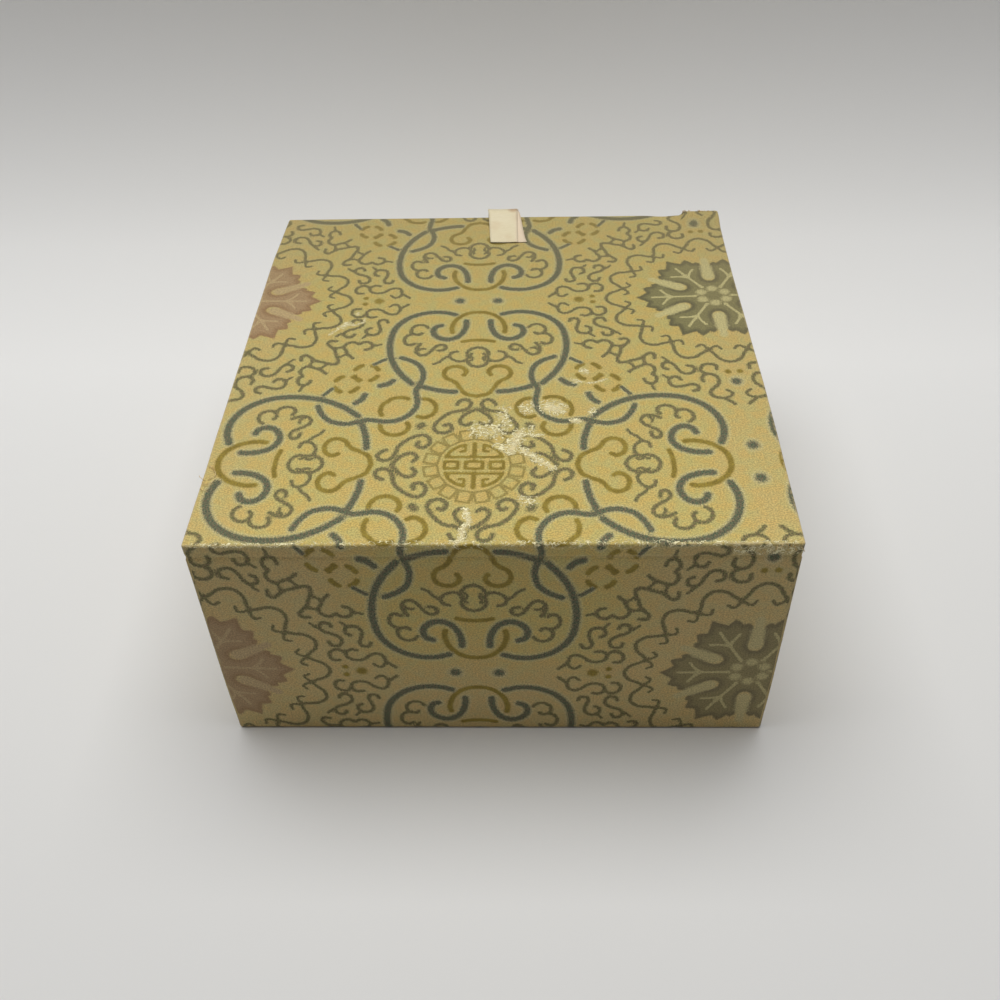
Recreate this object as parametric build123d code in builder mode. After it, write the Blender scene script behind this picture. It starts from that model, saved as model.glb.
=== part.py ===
from build123d import *
import os

# A card box wrapped in silk brocade: a square-cornered tray, a flat lid on a cloth hinge, and a ribbon
# to lift the lid by. X runs along the hinge, -Y is the hinge side, +Y is the opening side, +Z is up.
# The origin is at the middle of the underside. All sizes are in millimetres.

# The whole box, closed and wrapped
box_width = 110.0
box_depth = 118.0
box_height = 56.0

# Boards
wall_board = 2.5
floor_board_thickness = 2.5
lid_board_thickness = 2.2

# Brocade, backed with paper and glued to the boards
brocade = 0.4
brocade_corner_radius = 1.0
rim_turn_in = 8.0
lid_turn_under = 11.0
floor_turn_under = 12.0

# Sheet under the floor
paper = 0.25
paper_inset = 2.5

# Seam between the lid and the rim, with room for the hinge's inner strip, folded double
lid_gap = 0.6

# Hinge: the outer band that bends, above and below the seam, and the inner strip
hinge_band_reach = 1.4
hinge_strip = 0.2
hinge_strip_reach = 12.0
hinge_strip_clearance = 0.1
hinge_strip_end_clearance = 0.3

# Wall linings: satin drawn over thin card
lining = 1.2
lining_below_rim = 1.5

# Satin-covered pads on the floor and in the lid
satin = 0.25
floor_card_thickness = 1.0
floor_wadding_thickness = 5.0
floor_wadding_round = 3.0
floor_wadding_corner = 4.0
floor_pad_clearance = 0.3
lid_card_thickness = 1.0
lid_wadding_thickness = 2.8
lid_wadding_round = 1.8
lid_wadding_corner = 3.0
lid_pad_clearance = 0.9

# Ribbon of the pull tab, folded double; the fold lies askew, so the tab is wider at its tip
ribbon_width = 7.2
ribbon = 0.5
ribbon_offset = 0.5
ribbon_skew = 2.0
ribbon_glued_length = 16.0
ribbon_slot_clearance = 0.1
ribbon_side_clearance = 0.4
ribbon_edge_gap = 0.1
ribbon_rise = 0.7
tab_length = 14.5
tab_tip_lift = 0.1
tab_pivot_clearance = 0.05
tab_start_gap = 0.3
tab_rest_share = 0.35

# Margin by which a cutting solid passes the faces that it cuts
overrun = 5.0

# Heights, from the table up
floor_board_bottom = paper + brocade
floor_board_top = floor_board_bottom + floor_board_thickness
lid_board_top = box_height - brocade
lid_board_bottom = lid_board_top - lid_board_thickness
lid_underside = lid_board_bottom - brocade
rim_top = lid_underside - lid_gap
wall_board_top = rim_top - brocade
crease_height = (rim_top + lid_underside) / 2
band_bottom = rim_top - hinge_band_reach
band_top = lid_underside + hinge_band_reach

# Distances in from the outer faces
board_outside = brocade
board_inside = board_outside + wall_board
lining_outside = board_inside + brocade
lining_inside = lining_outside + lining
pad_inset = lining_inside + lid_pad_clearance
board_corner_radius = brocade_corner_radius - brocade

# The outer faces
left_face = -box_width / 2
right_face = box_width / 2
hinge_face = -box_depth / 2
opening_face = box_depth / 2


def inset_rectangle(inset, radius):
    """The outline of the box, drawn in by an inset, with its corners rounded where they are."""
    if radius > 0:
        RectangleRounded(box_width - 2 * inset, box_depth - 2 * inset, radius)
    else:
        Rectangle(box_width - 2 * inset, box_depth - 2 * inset)


def layer(inset, radius, bottom, top, mode):
    """A slab of that outline between two heights, added to or cut from the piece being built."""
    with BuildSketch(Plane.XY.offset(bottom)) as outline:
        inset_rectangle(inset, radius)
    extrude(outline.sketch, amount=top - bottom, mode=mode)


def keep_side(side, reach):
    """Keep one side of a ring, cut at 45 degrees at its two corners, as the cloth is mitred."""
    outer_x, outer_y = right_face + overrun, opening_face + overrun
    inner_x, inner_y = right_face - reach, opening_face - reach
    corners = {
        "hinge": [(-outer_x, -outer_y), (outer_x, -outer_y), (inner_x, -inner_y), (-inner_x, -inner_y)],
        "opening": [(outer_x, outer_y), (-outer_x, outer_y), (-inner_x, inner_y), (inner_x, inner_y)],
        "left": [(-outer_x, outer_y), (-outer_x, -outer_y), (-inner_x, -inner_y), (-inner_x, inner_y)],
        "right": [(outer_x, -outer_y), (outer_x, outer_y), (inner_x, inner_y), (inner_x, -inner_y)],
    }
    with BuildSketch(Plane.XY.offset(-overrun)) as sector:
        with BuildLine():
            Polyline(*corners[side], close=True)
        make_face()
    extrude(sector.sketch, amount=box_height + 2 * overrun, mode=Mode.INTERSECT)


def finish_piece(piece, label):
    """Name a finished piece and write it to its own file."""
    piece.part.label = label
    export_step(piece.part, f"parts/{label}.step")


os.makedirs("parts", exist_ok=True)

# Floor board, glued between the four walls
with BuildPart() as floor_board:
    layer(board_inside, 0, floor_board_bottom, floor_board_top, Mode.ADD)
finish_piece(floor_board, "floor_board")

# Wall boards: the hinge and opening walls run the full width, and the side walls stand between them
for side, centre in (
    ("hinge", hinge_face + board_outside + wall_board / 2),
    ("opening", opening_face - board_outside - wall_board / 2),
):
    with BuildPart() as wall:
        layer(board_outside, board_corner_radius, floor_board_bottom, wall_board_top, Mode.ADD)
        with BuildSketch(Plane.XY.offset(floor_board_bottom)):
            with Locations((0, centre)):
                Rectangle(box_width, wall_board)
        extrude(amount=wall_board_top - floor_board_bottom, mode=Mode.INTERSECT)
    finish_piece(wall, f"{side}_wall_board")

for side, centre in (
    ("left", left_face + board_outside + wall_board / 2),
    ("right", right_face - board_outside - wall_board / 2),
):
    with BuildPart() as wall:
        with BuildSketch(Plane.XY.offset(floor_board_bottom)):
            with Locations((centre, 0)):
                Rectangle(wall_board, box_depth - 2 * board_inside)
        extrude(amount=wall_board_top - floor_board_bottom)
    finish_piece(wall, f"{side}_wall_board")

# Brocade on the three free walls: up the outside, over the rim and down inside under the lining,
# and under the floor at the bottom
for side in ("opening", "left", "right"):
    with BuildPart() as cover:
        layer(0, brocade_corner_radius, paper, rim_top, Mode.ADD)
        layer(board_outside, board_corner_radius, floor_board_bottom, wall_board_top, Mode.SUBTRACT)
        layer(floor_turn_under, 0, paper, floor_board_bottom, Mode.SUBTRACT)
        layer(board_inside, 0, rim_top - rim_turn_in, wall_board_top, Mode.ADD)
        layer(lining_outside, 0, rim_top - rim_turn_in, rim_top, Mode.SUBTRACT)
        keep_side(side, floor_turn_under + lining_outside)
    finish_piece(cover, f"{side}_wall_brocade")

# Brocade on the hinge wall: from the bending band down, and under the floor
with BuildPart() as cover:
    layer(0, brocade_corner_radius, paper, band_bottom, Mode.ADD)
    layer(board_outside, board_corner_radius, floor_board_bottom, band_bottom, Mode.SUBTRACT)
    layer(floor_turn_under, 0, paper, floor_board_bottom, Mode.SUBTRACT)
    keep_side("hinge", floor_turn_under + lining_outside)
finish_piece(cover, "hinge_wall_brocade")

# Sheet glued over the turned edges, which is what the box stands on
with BuildPart() as underside_paper:
    layer(paper_inset, 0, 0, paper, Mode.ADD)
finish_piece(underside_paper, "underside_paper")

# Linings: the hinge and opening panels run from side to side, and the side panels fit between them
lining_bottom = floor_board_top
lining_top = rim_top - lining_below_rim
for side, inward in (("hinge", 1), ("opening", -1)):
    face = hinge_face if side == "hinge" else opening_face
    with BuildPart() as panel:
        with BuildSketch(Plane.XY.offset(lining_bottom)):
            with Locations((0, face + inward * (lining_outside + lining / 2))):
                Rectangle(box_width - 2 * lining_outside, lining)
        extrude(amount=lining_top - lining_bottom)
    finish_piece(panel, f"{side}_wall_lining")

for side, inward in (("left", 1), ("right", -1)):
    face = left_face if side == "left" else right_face
    with BuildPart() as panel:
        with BuildSketch(Plane.XY.offset(lining_bottom)):
            with Locations((face + inward * (lining_outside + lining / 2), 0)):
                Rectangle(lining, box_depth - 2 * lining_inside)
        extrude(amount=lining_top - lining_bottom)
    finish_piece(panel, f"{side}_wall_lining")

# Floor pad: wadding on a card, with satin drawn over both
floor_pad_inset = lining_inside + floor_pad_clearance
floor_filling_inset = floor_pad_inset + satin
floor_card_top = floor_board_top + floor_card_thickness
floor_wadding_top = floor_card_top + floor_wadding_thickness

with BuildPart() as floor_card:
    layer(floor_filling_inset, 0, floor_board_top, floor_card_top, Mode.ADD)
finish_piece(floor_card, "floor_card")

with BuildPart() as floor_wadding:
    layer(floor_filling_inset, floor_wadding_corner, floor_card_top, floor_wadding_top, Mode.ADD)
    fillet(floor_wadding.faces().sort_by(Axis.Z)[-1].edges(), floor_wadding_round)
finish_piece(floor_wadding, "floor_wadding")

with BuildPart() as floor_satin:
    layer(floor_pad_inset, floor_wadding_corner + satin, floor_card_top, floor_wadding_top + satin, Mode.ADD)
    fillet(floor_satin.faces().sort_by(Axis.Z)[-1].edges(), floor_wadding_round + satin)
    layer(floor_pad_inset, 0, floor_board_top, floor_card_top, Mode.ADD)
    layer(floor_filling_inset, 0, floor_board_top, floor_card_top, Mode.SUBTRACT)
    add(floor_wadding.part, mode=Mode.SUBTRACT)
finish_piece(floor_satin, "floor_satin")

# Lid board
with BuildPart() as lid_board:
    layer(board_outside, board_corner_radius, lid_board_bottom, lid_board_top, Mode.ADD)
finish_piece(lid_board, "lid_board")

# Brocade on the lid: over the top and down the edges, turned under on the three free sides.
# On the hinge side it stops where the bending band takes over.
with BuildPart() as lid_brocade:
    layer(0, brocade_corner_radius, lid_underside, box_height, Mode.ADD)
    layer(board_outside, board_corner_radius, lid_board_bottom, lid_board_top, Mode.SUBTRACT)
    layer(lid_turn_under, 0, lid_underside, lid_board_bottom, Mode.SUBTRACT)
    with BuildSketch(Plane.XY.offset(lid_underside)):
        with BuildLine():
            Polyline(
                (left_face, hinge_face),
                (right_face, hinge_face),
                (right_face - lid_turn_under, hinge_face + lid_turn_under),
                (left_face + lid_turn_under, hinge_face + lid_turn_under),
                close=True,
            )
        make_face()
    extrude(amount=band_top - lid_underside, mode=Mode.SUBTRACT)
finish_piece(lid_brocade, "lid_brocade")

# The band of brocade that bends at the hinge, on the outside from the lid's edge to the wall
with BuildPart() as hinge_brocade:
    layer(0, brocade_corner_radius, band_bottom, band_top, Mode.ADD)
    layer(board_outside, board_corner_radius, band_bottom, band_top, Mode.SUBTRACT)
    keep_side("hinge", lining_outside)
finish_piece(hinge_brocade, "hinge_brocade")

# Strip inside the hinge: up the wall's inner face, over the rim to the crease, and back under the lid
strip_outer = hinge_face + board_outside
strip_wall = hinge_face + board_inside
strip_lid_end = strip_outer + hinge_strip_reach
with BuildPart() as hinge_lining:
    with BuildSketch(Plane.YZ):
        with BuildLine():
            Polyline(
                (strip_wall, wall_board_top - hinge_strip_reach),
                (strip_wall, wall_board_top),
                (strip_outer, wall_board_top),
                (strip_outer, lid_underside),
                (strip_lid_end, lid_underside),
                (strip_lid_end, lid_underside - hinge_strip),
                (strip_outer + hinge_strip, lid_underside - hinge_strip),
                (strip_outer + hinge_strip, wall_board_top + hinge_strip),
                (strip_wall + hinge_strip, wall_board_top + hinge_strip),
                (strip_wall + hinge_strip, wall_board_top - hinge_strip_reach),
                close=True,
            )
        make_face()
    extrude(amount=right_face - lining_outside - hinge_strip_end_clearance, both=True)
finish_piece(hinge_lining, "hinge_lining")

# Where the ribbon runs: out under the lid, round its edge in an open bend, and back over its top
ribbon_bottom = lid_underside - ribbon
bend_centre_y = opening_face + ribbon_edge_gap
bend_top = box_height + ribbon_rise + ribbon
bend_outer_radius = (bend_top - ribbon_bottom) / 2
bend_centre_z = ribbon_bottom + bend_outer_radius
ribbon_left = ribbon_offset - ribbon_width / 2
ribbon_right = ribbon_offset + ribbon_width / 2
ribbon_inner_end = opening_face - ribbon_glued_length


def ribbon_slot():
    """Cut the shallow slot that the glued end of the ribbon lies in, under the lid."""
    with BuildSketch(Plane.XY.offset(ribbon_bottom - ribbon_slot_clearance)) as slot:
        with Locations((ribbon_offset, (ribbon_inner_end + opening_face) / 2)):
            Rectangle(ribbon_width + 2 * ribbon_side_clearance, ribbon_glued_length + 2 * ribbon_side_clearance)
    extrude(slot.sketch, amount=ribbon + ribbon_slot_clearance, mode=Mode.SUBTRACT)


def hinge_strip_rebate():
    """Cut the shallow step that the hinge's inner strip lies in, under the lid."""
    with BuildSketch(Plane.XY.offset(lid_underside - hinge_strip - hinge_strip_clearance)) as step:
        with Locations((0, hinge_face)):
            Rectangle(box_width, 2 * (strip_lid_end + hinge_strip_clearance - hinge_face))
    extrude(step.sketch, amount=hinge_strip + hinge_strip_clearance, mode=Mode.SUBTRACT)


# Lid pad: wadding under a card, with satin drawn over both, inside the mouth of the box
lid_filling_inset = pad_inset + satin
lid_card_bottom = lid_underside - lid_card_thickness
lid_wadding_bottom = lid_card_bottom - lid_wadding_thickness

with BuildPart() as lid_card:
    layer(lid_filling_inset, 0, lid_card_bottom, lid_underside, Mode.ADD)
    ribbon_slot()
    hinge_strip_rebate()
finish_piece(lid_card, "lid_card")

with BuildPart() as lid_wadding:
    layer(lid_filling_inset, lid_wadding_corner, lid_wadding_bottom, lid_card_bottom, Mode.ADD)
    fillet(lid_wadding.faces().sort_by(Axis.Z)[0].edges(), lid_wadding_round)
finish_piece(lid_wadding, "lid_wadding")

with BuildPart() as lid_satin:
    layer(pad_inset, lid_wadding_corner + satin, lid_wadding_bottom - satin, lid_card_bottom, Mode.ADD)
    fillet(lid_satin.faces().sort_by(Axis.Z)[0].edges(), lid_wadding_round + satin)
    layer(pad_inset, 0, lid_card_bottom, lid_underside, Mode.ADD)
    layer(lid_filling_inset, 0, lid_card_bottom, lid_underside, Mode.SUBTRACT)
    add(lid_wadding.part, mode=Mode.SUBTRACT)
    ribbon_slot()
    hinge_strip_rebate()
finish_piece(lid_satin, "lid_satin")

# Fixed part of the ribbon: glued under the lid, then bent up round the lid's edge
with BuildPart() as pull_tab_root:
    with BuildSketch(Plane.YZ.offset(ribbon_left)):
        with Locations((bend_centre_y, bend_centre_z)):
            Circle(bend_outer_radius)
            Circle(bend_outer_radius - ribbon, mode=Mode.SUBTRACT)
        with Locations((bend_centre_y - bend_outer_radius, bend_centre_z)):
            Rectangle(2 * bend_outer_radius, 2 * bend_outer_radius, mode=Mode.SUBTRACT)
        with Locations(((ribbon_inner_end + bend_centre_y) / 2, ribbon_bottom + ribbon / 2)):
            Rectangle(bend_centre_y - ribbon_inner_end, ribbon)
    extrude(amount=ribbon_width)
finish_piece(pull_tab_root, "pull_tab_root")

# Loose part of the ribbon: from the top of the bend down to the lid, on which its folded tip lies.
# It turns on a line just above the bend, so that it can lie back over it.
tab_pivot_z = bend_top + tab_pivot_clearance
tab_start_y = bend_centre_y - tab_start_gap
tab_tip_y = opening_face - tab_length
tab_lie_y = tab_start_y + (tab_tip_y - tab_start_y) * tab_rest_share
tab_lie_z = box_height + tab_tip_lift
with BuildPart() as pull_tab:
    with BuildSketch(Plane.YZ.offset(ribbon_left)):
        with BuildLine():
            Polyline(
                (tab_start_y, bend_top),
                (tab_start_y, bend_top - ribbon),
                (tab_lie_y, tab_lie_z),
                (tab_tip_y, tab_lie_z),
                (tab_tip_y, tab_lie_z + ribbon),
                (tab_lie_y, tab_lie_z + ribbon),
                close=True,
            )
        make_face()
    extrude(amount=ribbon_width + ribbon_skew)
    with BuildSketch(Plane.XY.offset(box_height)):
        with BuildLine():
            Polyline(
                (ribbon_left, tab_start_y),
                (ribbon_left, tab_tip_y),
                (ribbon_right + ribbon_skew, tab_tip_y),
                (ribbon_right, tab_start_y),
                close=True,
            )
        make_face()
    extrude(amount=bend_top - box_height, mode=Mode.INTERSECT)
    fillet(pull_tab.faces().sort_by(Axis.Y)[0].edges().filter_by(Axis.X), ribbon / 2 - tab_pivot_clearance)
finish_piece(pull_tab, "pull_tab")

print("crease height", crease_height, "tab pivot", bend_centre_y, tab_pivot_z)
print("cavity from", floor_wadding_top + satin, "to", lid_wadding_bottom - satin)
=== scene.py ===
import math

import bpy
import numpy as np
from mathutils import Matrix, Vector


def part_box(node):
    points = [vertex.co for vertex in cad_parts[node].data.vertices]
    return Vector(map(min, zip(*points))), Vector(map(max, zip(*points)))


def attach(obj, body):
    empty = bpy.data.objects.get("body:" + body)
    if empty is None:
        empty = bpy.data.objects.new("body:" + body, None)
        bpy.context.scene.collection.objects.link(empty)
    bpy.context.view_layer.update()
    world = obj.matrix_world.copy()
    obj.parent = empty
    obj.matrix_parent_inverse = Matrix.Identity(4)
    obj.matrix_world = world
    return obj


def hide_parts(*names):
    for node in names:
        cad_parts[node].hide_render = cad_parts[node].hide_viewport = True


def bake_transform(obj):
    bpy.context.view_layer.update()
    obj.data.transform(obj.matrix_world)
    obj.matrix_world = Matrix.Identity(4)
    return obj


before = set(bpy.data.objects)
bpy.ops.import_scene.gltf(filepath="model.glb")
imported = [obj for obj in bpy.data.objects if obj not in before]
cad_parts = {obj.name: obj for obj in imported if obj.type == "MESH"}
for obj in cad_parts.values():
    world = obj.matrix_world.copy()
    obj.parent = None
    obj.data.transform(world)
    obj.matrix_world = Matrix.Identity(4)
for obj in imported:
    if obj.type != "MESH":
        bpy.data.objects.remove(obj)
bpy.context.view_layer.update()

# Greyboard: the floor, four walls and lid are sheets of pressed grey pulp, knife-cut and glued edge to edge.
# The CAD solids stand for them as they are, and get the speckled look of pulp board.
mm = 0.001


def linear(red, green, blue):
    """A colour from screen values of 0 to 255, as the shaders need it."""
    shares = [value / 255 for value in (red, green, blue)]
    return (*(s / 12.92 if s <= 0.04045 else ((s + 0.055) / 1.055) ** 2.4 for s in shares), 1.0)


def new_material(name, roughness):
    """An empty material: its node tree and its shader are used to build it up."""
    material = bpy.data.materials.new(name)
    material.use_nodes = True
    material.node_tree.nodes["Principled BSDF"].inputs["Roughness"].default_value = roughness
    return material, material.node_tree, material.node_tree.nodes["Principled BSDF"]


def feed(tree, socket, value):
    """Give a socket a number, a colour or the result of another node."""
    if isinstance(value, bpy.types.NodeSocket):
        tree.links.new(value, socket)
    else:
        socket.default_value = value


def vector_of(tree, operation, first, second=(0, 0, 0)):
    """One operation on two vectors. Its result is a vector, or a number for a length or a distance."""
    node = tree.nodes.new("ShaderNodeVectorMath")
    node.operation = operation
    feed(tree, node.inputs[0], first)
    feed(tree, node.inputs[1], second)
    return node.outputs["Value" if operation in ("LENGTH", "DISTANCE") else "Vector"]


def place_on_piece(tree):
    """Where a point lies, in metres."""
    return tree.nodes.new("ShaderNodeTexCoord").outputs["Object"]


def mixed(tree, share, first, second):
    """A blend of two colours."""
    node = tree.nodes.new("ShaderNodeMix")
    node.data_type = "RGBA"
    feed(tree, node.inputs[0], share)
    feed(tree, node.inputs[6], first)
    feed(tree, node.inputs[7], second)
    return node.outputs[2]


def ramp(tree, value, low, high, start=0.0, end=1.0):
    """A value that goes smoothly from start, below low, to end, above high."""
    node = tree.nodes.new("ShaderNodeMapRange")
    node.interpolation_type = "SMOOTHSTEP"
    feed(tree, node.inputs["Value"], value)
    node.inputs["From Min"].default_value = low
    node.inputs["From Max"].default_value = high
    node.inputs["To Min"].default_value = start
    node.inputs["To Max"].default_value = end
    return node.outputs[0]


def grain(tree, place, size, detail=2.0, stretch=(1.0, 1.0, 1.0)):
    """Random mottling from 0 to 1, with grains of a size given in the units of the place."""
    node = tree.nodes.new("ShaderNodeTexNoise")
    node.inputs["Scale"].default_value = 1.0
    node.inputs["Detail"].default_value = detail
    sized = vector_of(tree, "MULTIPLY", place, [1 / (size * s) for s in stretch])
    feed(tree, node.inputs["Vector"], sized)
    return node.outputs["Fac"]


def bumped(tree, shader, height, depth):
    """Give a shader the fine relief of a height from 0 to 1, with a depth in metres."""
    node = tree.nodes.new("ShaderNodeBump")
    node.inputs["Distance"].default_value = depth
    feed(tree, node.inputs["Height"], height)
    tree.links.new(node.outputs["Normal"], shader.inputs["Normal"])


def pressed_board(name, base, fleck, roughness=0.95):
    """Pulp or card: flat, matt and speckled with fibres."""
    material, tree, shader = new_material(name, roughness)
    fibres = grain(tree, place_on_piece(tree), 0.5 * mm, 3.0, (3.0, 1.0, 1.0))
    feed(tree, shader.inputs["Base Color"], mixed(tree, ramp(tree, fibres, 0.4, 0.75), base, fleck))
    bumped(tree, shader, fibres, 0.05 * mm)
    return material


def dress_solid(node, material):
    """A CAD solid that shows as it is, with a look of its own."""
    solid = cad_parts[node]
    solid.data.materials.clear()
    solid.data.materials.append(material)


greyboard = pressed_board("pressed grey board", linear(150, 144, 134), linear(112, 107, 100))
for board in ("floor", "hinge_wall", "opening_wall", "left_wall", "right_wall", "lid"):
    dress_solid(f"{board}_board", greyboard)

# Brocade: one silk cloth with a woven figure covers the walls and lid. It is backed with paper, glued on,
# and turned over every edge. Warp runs from the hinge to the opening side, and up and down on the walls.
# The figure is a quatrefoil of cord loops round a medallion, with a flower between every four of them.


def corners_of(node):
    """The lowest and the highest corner of a CAD solid, in millimetres."""
    return [np.array(corner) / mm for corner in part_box(node)]


# Sizes of the wrapped box, from the frame
lid_low, lid_high = corners_of("lid_brocade")
half_width, half_depth, lid_top = lid_high
lid_underside = lid_low[2]
wall_low, wall_high = corners_of("left_wall_brocade")
rim = wall_high[2]
cloth_bottom = wall_low[2]
corner_radius = 0.5

# Half of the figure's repeat, as drawn. The drawing folds over at these lines and at its diagonal.
half_repeat = 53.2

# Kinds of thread: blue-grey cords, olive-grey scrolls, gilt lines, fine olive frets and pale veins
CORD, SCROLL, GILT, FRET, VEIN = "cord", "scroll", "gilt", "fret", "vein"


def curve(points, steps=6):
    """A smooth line through points."""
    path = np.array(points, float)
    path = np.vstack([2 * path[0] - path[1], path, 2 * path[-1] - path[-2]])
    line = []
    for a, b, c, d in zip(path[:-3], path[1:-2], path[2:-1], path[3:]):
        for t in np.arange(steps) / steps:
            swing = (2 * a - 5 * b + 4 * c - d) * t**2 + (3 * b - a - 3 * c + d) * t**3
            line.append(b + 0.5 * ((c - a) * t + swing))
    line.append(path[-2])
    return np.array(line)


def polar(centre, degrees, radius):
    """Points at angles and distances from a centre."""
    angle = np.radians(degrees)
    return np.stack([centre[0] + radius * np.cos(angle), centre[1] + radius * np.sin(angle)], -1)


def dot(x, y):
    """A stroke without length, which is a round dot of its half width."""
    return [(x, y), (x, y)]


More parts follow.
